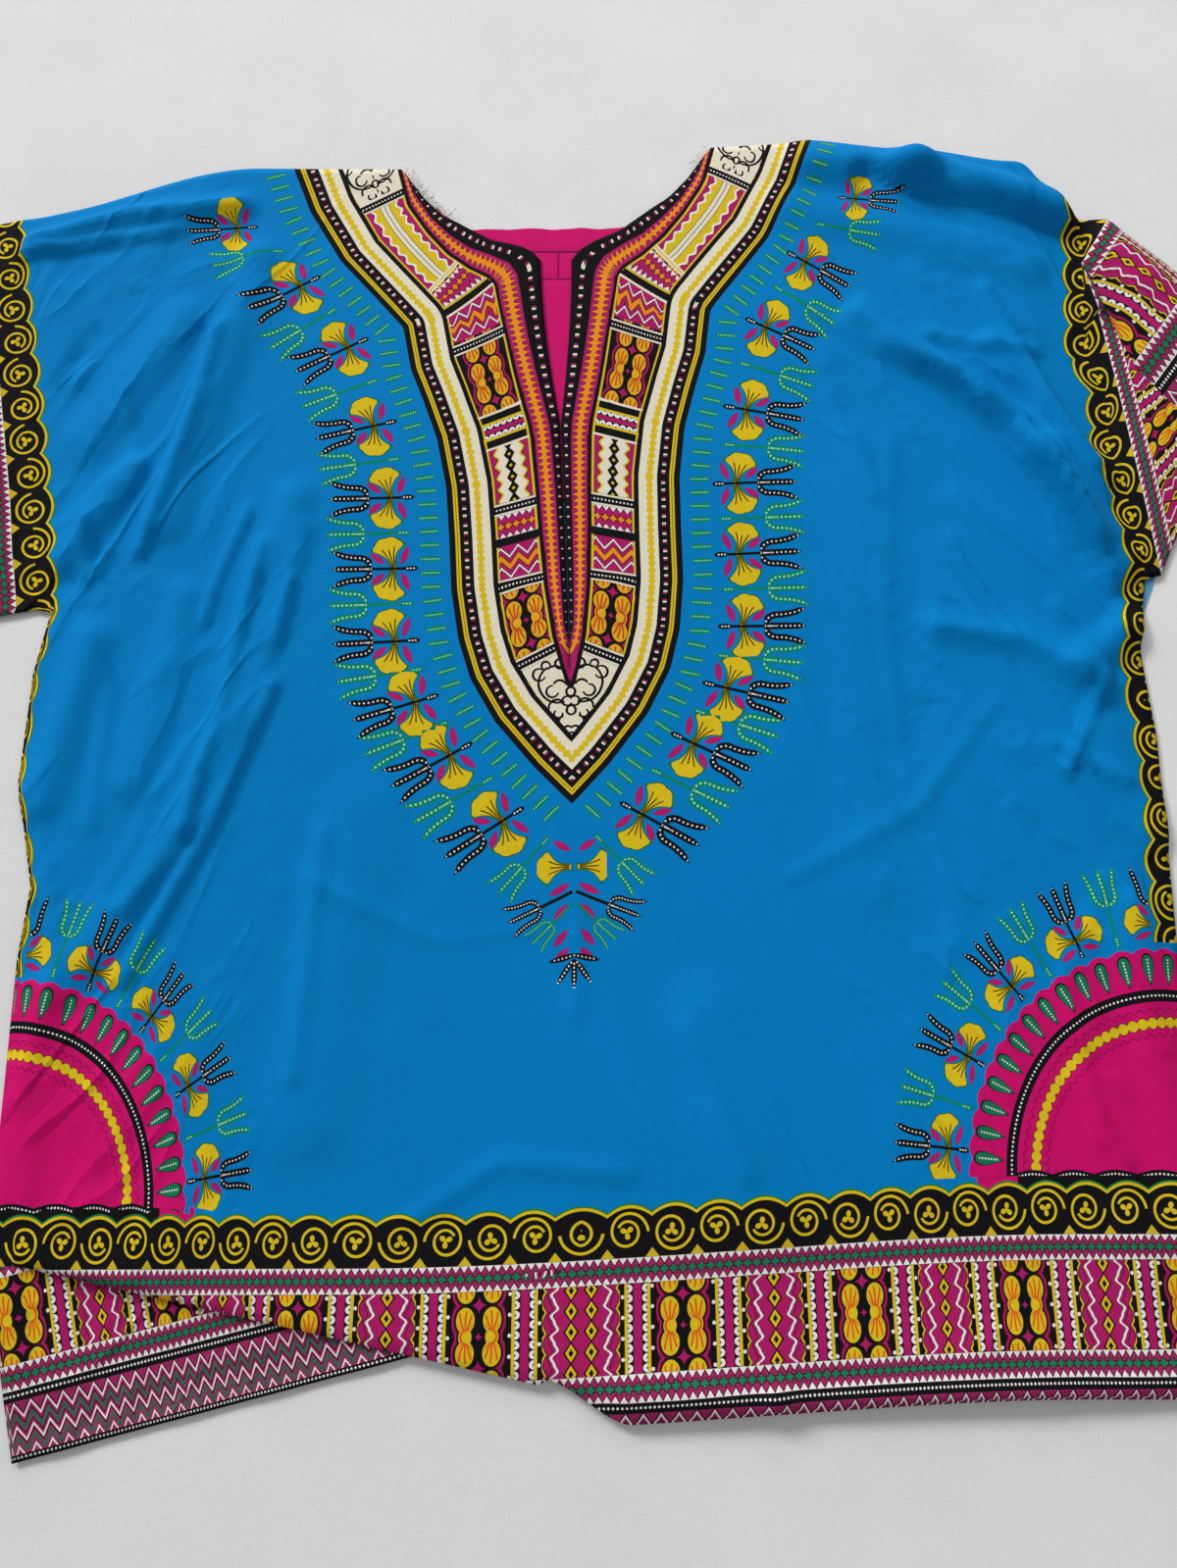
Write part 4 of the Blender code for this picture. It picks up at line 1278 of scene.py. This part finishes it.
body = tiled.print_on(
    MAGENTA,
    (vine < 1.5, BLACK),
    (vine < 1.1, WHITE),
    (vine < -0.6, YELLOW),
    (beside < 3.3, BLACK),
    ((beside < 2.9) & (beside > 0.25), CREAM),
)
colour = tiled.print_on(
    colour,
    (along > VINE_FROM, body),
    (beside > width * 0.5 - 1.5, YELLOW),
    (along.near(119.8, 2.9) | along.near(300.5, 3.6), BLACK),
)
bars = along.near(187.8, 0.8) | along.near(212.3, 0.8) | along.near(297.0, 0.9)
colour = tiled.print_on(
    colour,
    (bars | along.near(324.0, 1.8), CREAM),
    (along.near(324.0, 0.5) | along.near(303.6, 0.7), YELLOW),
)
beads = abs(along - BEAD_ROWS[0])
for middle in BEAD_ROWS[1:]:
    beads = beads.most(abs(along - middle))
colour = tiled.print_on(
    colour,
    (beads < 4.2, BLACK),
    (beads.between(2.7, 4.0), CREAM),
    (disc(beads, across.every(2.4), 0.62), WHITE),
)

# The scrolls of the tip and of the shoulder.
centre_out, centre_up, _ = tiled.place("cut")
scroll_out, scroll_up = abs(centre_out) * 1000, centre_up * 1000
tip = along < TIP_TO
colour = tiled.print_on(colour, (tip | (along > SCROLLS_FROM), CREAM))
curl_x = scroll_out * tip + (beside + 3.0) * (1 - tip)
curl_y = scroll_up * tip + (along - SCROLLS_FROM - 4.0) * (1 - tip)
ink = tip | (along > SCROLLS_FROM + 1.0)
SCROLLS = [
    # out, up, radius, arc starts at, arc ends at (degrees up from straight out)
    (8.2, 18.9, 11.4, -110, 62), (19.6, 25.4, 3.6, -160, 130), (15.0, 31.4, 2.4, -60, 190),
    (6.0, 32.0, 3.0, -120, 120), (9.4, 24.6, 6.0, 40, 175), (11.6, 14.0, 3.4, -170, 100),
    (6.8, 17.6, 3.6, 20, 170), (9.0, 4.2, 4.4, -20, 150), (8.0, -0.8, 2.4, -200, 60),
    (4.6, -5.6, 3.2, -60, 90), (2.6, 7.6, 2.7, -180, 180), (0.0, 13.6, 2.7, -180, 180),
    (0.0, 1.6, 2.7, -180, 180), (2.4, -11.4, 2.6, -70, 150), (0.0, -14.8, 1.8, -180, 180),
]
for x, y, radius, start, end in SCROLLS:
    middle, half = math.radians((start + end) / 2), math.radians((end - start) / 2)
    across_it = (curl_x - x) * math.cos(middle) + (curl_y - y) * math.sin(middle)
    along_it = (curl_y - y) * math.cos(middle) - (curl_x - x) * math.sin(middle)
    reach, turn = across_it.length(along_it), abs(along_it.angle(across_it))
    line = (abs(reach - radius * (1.0 + turn * 0.06)) < 0.85 - turn * 0.12) & (turn < half)
    colour = tiled.print_on(colour, (line & ink, BLACK))
colour = tiled.print_on(
    colour,
    (inside < RULE_TO, BLACK),
    (inside < RULE_FROM, CREAM),
    (from_chain < CHAIN_RULE, BLACK),
    (from_chain < 0.0, MAROON),
)
mesh.materials.append(tiled.finish(colour))

# Corner fans: a magenta disc with a yellow ring, a beaded ring and a fringe.
RING_AT, STITCH_IN, STITCH_OUT, BEADS_AT = 88.0, 82.5, 93.5, 103.5
DROPS_AT, DROP_PITCH, FAN_EDGE = 118.6, 11.5, 128.5
BEAD_STEP = 2.4
fanned = Finish("fanned_cotton", COTTON_ROUGHNESS)
centre_out, centre_up, _ = fanned.place("cut")
fan_x = (FAN_OUT - abs(centre_out)) * 1000
fan_y = (centre_up - FAN_UP) * 1000
reach, turn = fan_x.length(fan_y), fan_y.angle(fan_x)
run = turn * 100.0
edge = FAN_EDGE + abs(run.wave(22.0)) * 2.6
colour = fanned.print_on(BLUE, (reach < edge, CERISE))
inner = abs(run.wave(13.0))
colour = fanned.print_on(
    colour,
    (abs(reach - STITCH_IN + inner * 2.4) < 0.35, WINE),
    (abs(reach - STITCH_OUT - inner * 2.6) < 0.35, WINE),
)
jag = 1.3 + inner * 1.9
colour = fanned.print_on(
    colour,
    (abs(reach - RING_AT) < jag + 0.5, BLACK),
    (abs(reach - RING_AT) < jag, YELLOW),
    (abs(reach - BEADS_AT) < 3.5, BLACK),
)
beads = disc(reach - BEADS_AT, run.every(BEAD_STEP), 0.64)
colour = fanned.print_on(colour, (beads, WHITE))
drop_x, drop_y = run.every(DROP_PITCH) * 1.18, reach - DROPS_AT
taper = 1 + drop_y * 0.055
drop = (drop_x / taper.least(0.1) / 3.0).length(drop_y / 8.3)
colour = fanned.print_on(
    colour,
    (drop < 1.14, BLACK),
    (drop < 1.0, DROP_GREEN),
    (disc(drop_x, drop_y.every(1.9), 0.55) & (abs(drop_y) < 6.0), WHITE),
)
foot = fan_y - abs(fan_x.wave(51.6)) * 2.4
colour = fanned.print_on(
    colour,
    ((foot < 4.6) & (reach < 107.0), BLACK),
    (disc(foot - 2.4, fan_x.every(2.15), 0.6) & (reach < 105.0), WHITE),
)
mesh.materials.append(fanned.finish(colour))


SCALLOP = 24.9
SPIRAL_ACROSS = 13.2


def scalloped_band(finish, ground, along, across):
    """Scallops in yellow and green, with a yellow spiral in each."""
    beyond = abs(along) - 2.0
    middle = beyond < SCALLOP / 2
    cell = beyond.every(SCALLOP) * (1 - middle) + abs(along) * middle * 0.86
    edge = across - cell * cell * 0.030
    colour = finish.print_on(
        ground,
        (edge > -2.1, EDGE_GREEN),
        (edge > -1.2, BLACK),
        (edge.near(-0.2, 0.85), YELLOW),
    )
    # One open turn that hooks in on itself round a flower of four petals.
    odd = (beyond / (2 * SCALLOP) + 0.25).part() > 0.5
    x = cell + 1.5
    y = (across - SPIRAL_ACROSS) * (1 - odd * 2)
    reach, turn = x.length(y), y.angle(x)
    sweep = (turn / (2 * math.pi)).part()
    shrink = sweep.to_the(0.333) * 8.2
    outer = abs(reach - 3.6 - shrink) < 0.75
    hook = (abs(reach - 3.6 - shrink * 0.333) < 0.7) & (sweep < 0.42)
    petal = reach < abs((turn * 1.5 + 0.6).wave(2 * math.pi)) * 3.9
    colour = finish.print_on(colour, ((outer | hook | petal) & (edge > 1.5), YELLOW))
    gusset = abs(beyond.every(SCALLOP, SCALLOP / 2)) < (across - 21.6) * 0.80
    return finish.print_on(colour, (gusset & (beyond > 5.0), DULL_YELLOW))


# Band of scallops and spirals along the hem and down both sides.
STRIPE_DOWN, STRIPE_EDGE, BAND_END = 33.1, 26.4, 39.8
FAN_FOOT, FAN_FOOT_DARK = 232.0, 258.0
banded = Finish("banded_cotton", COTTON_ROUGHNESS)
along, across, hem_side = banded.place("border")
fan_foot = hem_side & (abs(along) > FAN_FOOT)
ground = banded.print_on(
    BLUE,
    (fan_foot, CERISE),
    (hem_side & (abs(along) > FAN_FOOT_DARK), BLACK),
)
colour = scalloped_band(banded, ground, along, across)
stripe = chain_stripe(banded, across - STRIPE_DOWN, along, PURPLE, LEAF)
colour = banded.print_on(
    colour,
    (across > STRIPE_EDGE, stripe),
    (across > BAND_END, BLACK),
)
mesh.materials.append(banded.finish(colour))

# Columns of beans, vines and lace below the band, down to the zigzags of the hem.
COLUMN_REPEAT, COLUMNS_DOWN, HEM_DOWN = 100.4, 62.4, 98.3
VINE_PITCH, LACE_OUT, LACE_HALF, BEANS_OUT = 10.4, 25.3, 7.1, 35.6
TOOTH_PITCH, DOT_PITCH = 9.5, 2.45
columned = Finish("columned_cotton", COTTON_ROUGHNESS)
along, across, _ = columned.place("border")
beyond = abs(along) - 5.5
repeat = abs(beyond.every(COLUMN_REPEAT))
down = across - COLUMNS_DOWN
colour = columned.print_on(
    BLACK,
    (disc(repeat - 17.2, down.every(VINE_PITCH, 5.0), 1.0), WHITE),
    (disc(repeat - 33.4, down.every(VINE_PITCH), 1.0), WHITE),
)
scallop = repeat - 12.9 - abs(down.wave(2 * VINE_PITCH)) * 2.2
vine = columned.print_on(
    colour,
    (scallop < 1.4, YELLOW),
    (scallop < 0.4, MAROON),
    (scallop < -0.2, MAGENTA),
)
sway = down.wave(VINE_PITCH) * 1.5 + down.wave(VINE_PITCH / 2) * 0.5
vine = columned.print_on(
    vine,
    (abs(repeat - 11.6 - sway * 0.8) < 0.28, MAROON),
    (abs(repeat - 9.0 - sway) < 1.25, MAROON),
    (abs(repeat - 9.0 - sway) < 0.78, WHITE),
)
vine = diamonds(columned, vine, repeat, down, VINE_PITCH, YELLOW, BLACK)
colour = columned.print_on(colour, (repeat < 15.6, vine))
edging = lace(columned, BLACK, repeat - LACE_OUT, down)
colour = columned.print_on(colour, (repeat.near(LACE_OUT, LACE_HALF), edging))
bean = beans(columned, BLACK, COLUMN_REPEAT / 2 - repeat, down, YELLOW, RUST, 7.3)
colour = columned.print_on(colour, (repeat > BEANS_OUT, bean))
nearer = (across - STRIPE_DOWN) + (across > COLUMNS_DOWN) * -58.5
stripe = chain_stripe(columned, nearer, along, PURPLE, LEAF)
colour = columned.print_on(colour, (abs(nearer) < 6.7, stripe))
low = across - HEM_DOWN
colour = columned.print_on(
    colour,
    (low > 0.0, BLACK),
    (disc(low - 2.5, along.every(DOT_PITCH), 0.68), WHITE),
)
zig = low - 5.0 + along.saw(TOOTH_PITCH) * 7.0 - 3.5
rows = columned.print_on(
    PURPLE,
    (zig.near(5.0, 0.8) | zig.near(16.6, 0.8), WHITE),
    (zig.near(10.8, 1.4), PINE),
    (zig.near(3.2, 0.5) | zig.near(8.4, 0.5) | zig.near(13.4, 0.5) | zig.near(18.6, 0.5), BLACK),
    (zig.near(21.6, 1.3), PINE),
    (zig.near(26.4, 0.8), WHITE),
)
colour = columned.print_on(
    colour,
    (low.between(5.4, 31.6), rows),
    (disc(low - 33.2, along.every(DOT_PITCH), 0.68), WHITE),
)
mesh.materials.append(columned.finish(colour))

# Sprigs that hang below the tip of the plaque.
tipped = Finish("tip_cotton", COTTON_ROUGHNESS)
centre_out, centre_up, _ = tipped.place("cut")
leaf_across, leaf_along, _ = tipped.place("leaf")
colour = leaf_fork(tipped, BLUE, leaf_across, leaf_along)
spray_across, spray_along, _ = tipped.place("spray")
colour = spray(tipped, colour, spray_across, spray_along)
colour = tip_spray(tipped, colour, abs(centre_out * 1000 - 1.6), centre_up * 1000)
mesh.materials.append(tipped.finish(colour))

bpy.ops.object.select_all(action="DESELECT")
front.select_set(True)
bpy.context.view_layer.objects.active = front
single = len(mesh.vertices)
wall = front.modifiers.new("cloth", "SOLIDIFY")
wall.thickness = FRONT_CLOTH
wall.offset = 0.0
bpy.ops.object.modifier_apply(modifier="cloth")
bpy.ops.object.shade_smooth()

# The cloth's flat layout, the printed side below and its wrong side, small,
# above it.
WRONG_SHARE = 0.15
WRONG_FOOT = 0.862
mesh = front.data
corners, sizes, starts, owner = faces_of(mesh)
flat = cut_places(mesh)[corners]
wrong = (np.maximum.reduceat(corners, starts) >= single)[owner]
across = (flat[:, 0] + SLEEVE_U) / (2 * SLEEVE_U)
along = (flat[:, 1] - HEM_V) / (2 * SLEEVE_U)
across = np.where(wrong, across * WRONG_SHARE, across)
along = np.where(wrong, WRONG_FOOT + along * WRONG_SHARE, along)
layout = mesh.uv_layers.new(name="OFBake")
layout.data.foreach_set("uv", np.stack([across, along], 1).astype(np.float32).ravel())

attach(front, "root")
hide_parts("front_panel")

# ---------------------------------------------------------------------------
# Frayed threads.  Cotton ends pulled out of the raw neck edge where the facing
# isn't caught in it, most of them on the left.
FRAYED_EDGES = [
    # first and last distance from the centre front, threads
    (-0.106, -0.074, 26), (0.098, 0.107, 8),
]
THREAD_RADIUS = 0.00022
THREAD_STEPS = 5
THREAD_START, THREAD_DROP = 0.0046, 0.0026
bpy.ops.object.select_all(action="DESELECT")
strands = bpy.data.curves.new("neck_threads", "CURVE")
strands.dimensions = "3D"
strands.bevel_depth = THREAD_RADIUS
strands.bevel_resolution = 0
strands.use_fill_caps = True
for first_out, last_out, threads in FRAYED_EDGES:
    for index in range(threads):
        part = (index + 0.5) / threads
        wild = noise.noise(Vector((index * 1.7, first_out * 50, 0.5)))
        wilder = noise.noise(Vector((index * 2.9, first_out * 50, 7.5)))
        out = mix(first_out, last_out, part)
        x, y, _ = lay(out, shoulder_v(out) - 0.001)
        away = math.copysign(1.0, -first_out)
        reach = 0.0055 + 0.0060 * abs(wilder)
        strand = strands.splines.new("POLY")
        strand.points.add(THREAD_STEPS)
        for step, point in enumerate(strand.points):
            gone = step / THREAD_STEPS
            point.co = (
                x + CENTRE_X + away * reach * gone * (0.55 + 0.9 * wild),
                y + CENTRE_Y + reach * (gone * 0.8 - 0.5 * wilder * gone * gone),
                THREAD_START - THREAD_DROP * gone * gone, 1.0,
            )
threads = bpy.data.objects.new("neck_threads", strands)
bpy.context.scene.collection.objects.link(threads)
threads.select_set(True)
bpy.context.view_layer.objects.active = threads
bpy.ops.object.convert(target="MESH")
threads = bpy.context.active_object
thread_cotton = Finish("thread_cotton", 0.8)
noise_values = {"Vector": thread_cotton.spot(), "Scale": 260.0, "Detail": 1.0}
tint = thread_cotton.node("TexNoise", {}, noise_values)
colour = thread_cotton.print_on((0.62, 0.58, 0.48), (tint > 0.56, (0.07, 0.05, 0.05)))
threads.data.materials.append(thread_cotton.finish(colour, weave=0.2))
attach(threads, "root")

# ---------------------------------------------------------------------------
# Back.  A second width of the same print, without a slit, which lies flat under
# the front with its printed side down and its paler wrong side up.
BACK_EDGE = [
    # x, y: from the neck round by the right sleeve, the hem and the left sleeve
    (0.052, 0.354), (0.067, 0.356), (0.084, 0.372), (0.098, 0.392), (0.106, 0.412),
    (0.165, 0.419), (0.250, 0.412), (0.310, 0.400), (0.352, 0.360),
    (0.410, 0.306), (0.452, 0.264), (0.452, 0.176), (0.416, 0.158),
    (0.384, 0.122), (0.360, 0.066), (0.352, 0.020), (0.356, -0.030),
    (0.353, -0.200), (0.352, -0.370), (0.200, -0.378), (0.030, -0.384),
    (-0.020, -0.366), (-0.060, -0.350), (-0.180, -0.345), (-0.290, -0.335),
    (-0.318, -0.290), (-0.322, -0.150), (-0.320, -0.110),
    (-0.328, -0.040), (-0.322, 0.030), (-0.325, 0.084), (-0.444, 0.066),
    (-0.490, 0.330), (-0.386, 0.352), (-0.330, 0.372), (-0.262, 0.394),
    (-0.190, 0.399), (-0.116, 0.396), (-0.106, 0.378), (-0.092, 0.362),
    (-0.076, 0.352),
]
BACK_CELL = 0.009
BACK_CLOTH = 0.0005


def flat_piece(name, edge, height, cell):
    """A sheet cut to its edge, with a grid of cells inside it."""
    bm = bmesh.new()
    bm.faces.new([bm.verts.new((x + CENTRE_X, y + CENTRE_Y, height)) for x, y in edge])
    for axis in (0, 1):
        sides = [vertex.co[axis] for vertex in bm.verts]
        spot, normal = Vector(), Vector()
        normal[axis] = 1.0
        for step in range(1, round((max(sides) - min(sides)) / cell)):
            spot[axis] = min(sides) + step * cell
            everything = bm.verts[:] + bm.edges[:] + bm.faces[:]
            bmesh.ops.bisect_plane(bm, geom=everything, plane_co=spot, plane_no=normal)
    bmesh.ops.recalc_face_normals(bm, faces=bm.faces)
    sheet = bpy.data.meshes.new(name)
    bm.to_mesh(sheet)
    bm.free()
    piece = bpy.data.objects.new(name, sheet)
    bpy.context.scene.collection.objects.link(piece)
    return piece


def give_thickness(piece, thickness):
    """Gives a sheet its wall, half on each side of it."""
    bpy.ops.object.select_all(action="DESELECT")
    piece.select_set(True)
    bpy.context.view_layer.objects.active = piece
    wall = piece.modifiers.new("cloth", "SOLIDIFY")
    wall.thickness = thickness
    wall.offset = 0.0
    bpy.ops.object.modifier_apply(modifier="cloth")
    bpy.ops.object.shade_smooth_by_angle(angle=math.radians(40))


back = flat_piece("printed_back", BACK_EDGE, BACK_CLOTH, BACK_CELL)
give_thickness(back, BACK_CLOTH)
mesh = back.data
corners, sizes, starts, owner = faces_of(mesh)
spots = np.array([vertex.co for vertex in mesh.vertices])
out, up = np.abs(spots[:, 0] - CENTRE_X), spots[:, 1] - CENTRE_Y
middle_out = np.add.reduceat(out[corners], starts) / sizes
middle_up = np.add.reduceat(up[corners], starts) / sizes
hem = middle_up < SCALLOP_V + 0.004
border_along = np.where(hem[owner], spots[corners, 0] - CENTRE_X, up[corners])
border_across = np.where(hem[owner], SCALLOP_V - up[corners], out[corners] - BORDER_U + 0.024)
give(mesh, "border", "CORNER", border_along * 1000, border_across * 1000, hem[owner] * 1.0)
WRONG, RIGHT_PLAIN, RIGHT_BAND, RIGHT_COLUMNS = range(4)
zone = np.full(len(sizes), RIGHT_PLAIN)
zone[middle_out > BORDER_U - 0.028] = RIGHT_BAND
zone[(middle_out > BORDER_U + 0.009) & (middle_up > UNDERARM_V)] = RIGHT_COLUMNS
zone[hem] = RIGHT_BAND
zone[middle_up < SCALLOP_V - 0.033] = RIGHT_COLUMNS
zone[np.array([face.normal.z for face in mesh.polygons]) > 0.5] = WRONG
mesh.polygons.foreach_set("material_index", zone.astype(np.int32))
wrong_side = Finish("wrong_side_cotton", 0.9)
mesh.materials.append(wrong_side.finish((0.10, 0.30, 0.52)))
for material in (plain, banded, columned):
    mesh.materials.append(material.material)
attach(back, "root")
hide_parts("back_panel")

# ---------------------------------------------------------------------------
# Neck facing.  Plain magenta cotton sewn inside the back of the neck, so that
# it shows in the slit and above the neckline.  Its top edge is a little drawn
# up, and its stitching makes a shallow groove below and above a short seam.
FACING_EDGE = [
    # x, y
    (0.050, 0.3565), (0.066, 0.3600), (0.082, 0.378), (0.074, 0.310),
    (0.052, 0.200), (0.040, 0.150), (-0.062, 0.150), (-0.074, 0.200),
    (-0.092, 0.310), (-0.096, 0.374), (-0.091, 0.3675), (-0.075, 0.3545),
    (-0.060, 0.3552), (-0.045, 0.3545), (-0.030, 0.3558), (-0.012, 0.3548),
    (0.004, 0.3560), (0.020, 0.3552), (0.036, 0.3566),
]
FACING_HEIGHT = 0.0019
FACING_CLOTH = 0.0006
FACING_CELL = 0.0025
GROOVES = [
    # x0, y0, x1, y1
    (-0.090, 0.3150, 0.070, 0.3155), (-0.090, 0.3365, 0.070, 0.3375),
    (-0.0110, 0.3155, -0.0105, 0.3370),
]
GROOVE_DEPTH = 0.0005
GROOVE_WIDE = 0.0022
STITCH_WIDE = 0.0008
FACING_LIMIT = 0.0004
facing = flat_piece("neck_facing_cloth", FACING_EDGE, FACING_HEIGHT, FACING_CELL)
for vertex in facing.data.vertices:
    x, y = vertex.co.x - CENTRE_X, vertex.co.y - CENTRE_Y
    lift = 0.0
    for groove in GROOVES:
        lift -= GROOVE_DEPTH * math.exp(-((off_run(x, y, *groove) / GROOVE_WIDE) ** 2))
    near_top = ease(0.325, 0.355, y)
    lift += 0.0007 * near_top * noise.noise(Vector((x * 95, y * 20, 1.0)))
    lift += 0.0004 * noise.noise(Vector((x * 30, y * 30, 4.0)))
    vertex.co.z += max(-FACING_LIMIT, lift)
give_thickness(facing, FACING_CLOTH)
facing_cotton = Finish("facing_cotton", 0.85)
x, y, _ = facing_cotton.split(facing_cotton.spot())
colour = (0.58, 0.008, 0.138)
for x0, y0, x1, y1 in GROOVES:
    middle_x, middle_y = (x0 + x1) / 2 + CENTRE_X, (y0 + y1) / 2 + CENTRE_Y
    half_x, half_y = (abs(x1 - x0) + STITCH_WIDE) / 2, (abs(y1 - y0) + STITCH_WIDE) / 2
    line = (abs(x - middle_x) < half_x) & (abs(y - middle_y) < half_y)
    colour = facing_cotton.print_on(colour, (line, (0.20, 0.006, 0.060)))
facing.data.materials.append(facing_cotton.finish(colour))
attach(facing, "root")
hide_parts("neck_facing")

# ---------------------------------------------------------------------------
# Floor and light.  A pale cloth-covered table in hazy daylight that slants in from
# the upper left, a wide window beyond the neck, and a dim even room.
TABLE_SIDE, UNDER_SHIRT = 6.0, 0.0002
bpy.ops.mesh.primitive_plane_add(size=TABLE_SIDE, location=(0, 0, -UNDER_SHIRT))
floor = bpy.context.active_object
floor.name = "floor"
white = Finish("floor_cloth", 0.9)
floor.data.materials.append(white.finish((0.72, 0.718, 0.715), weave=0.4, creases=0.0))
world = bpy.data.worlds.new("sky")
bpy.context.scene.world = world
world.use_nodes = True
world.node_tree.nodes["Background"].inputs["Color"].default_value = (0.97, 0.99, 1.0, 1.0)
world.node_tree.nodes["Background"].inputs["Strength"].default_value = 0.43
for name, kind, energy, width, wide, place in (
    # a sun's width is an angle, and a window's is its side in metres
    ("daylight", "SUN", 2.15, "angle", math.radians(16), (-1.3, 1.5, 1.15)),
    ("window", "AREA", 34.0, "size", 1.6, (-0.3, 2.5, 1.7)),
):
    lamp = bpy.data.lights.new(name, kind)
    lamp.energy = energy
    setattr(lamp, width, wide)
    light = bpy.data.objects.new(name, lamp)
    light.location = place
    light.rotation_euler = (-Vector(place)).to_track_quat("-Z", "Y").to_euler()
    bpy.context.scene.collection.objects.link(light)
bpy.context.scene.view_settings.view_transform = "Standard"
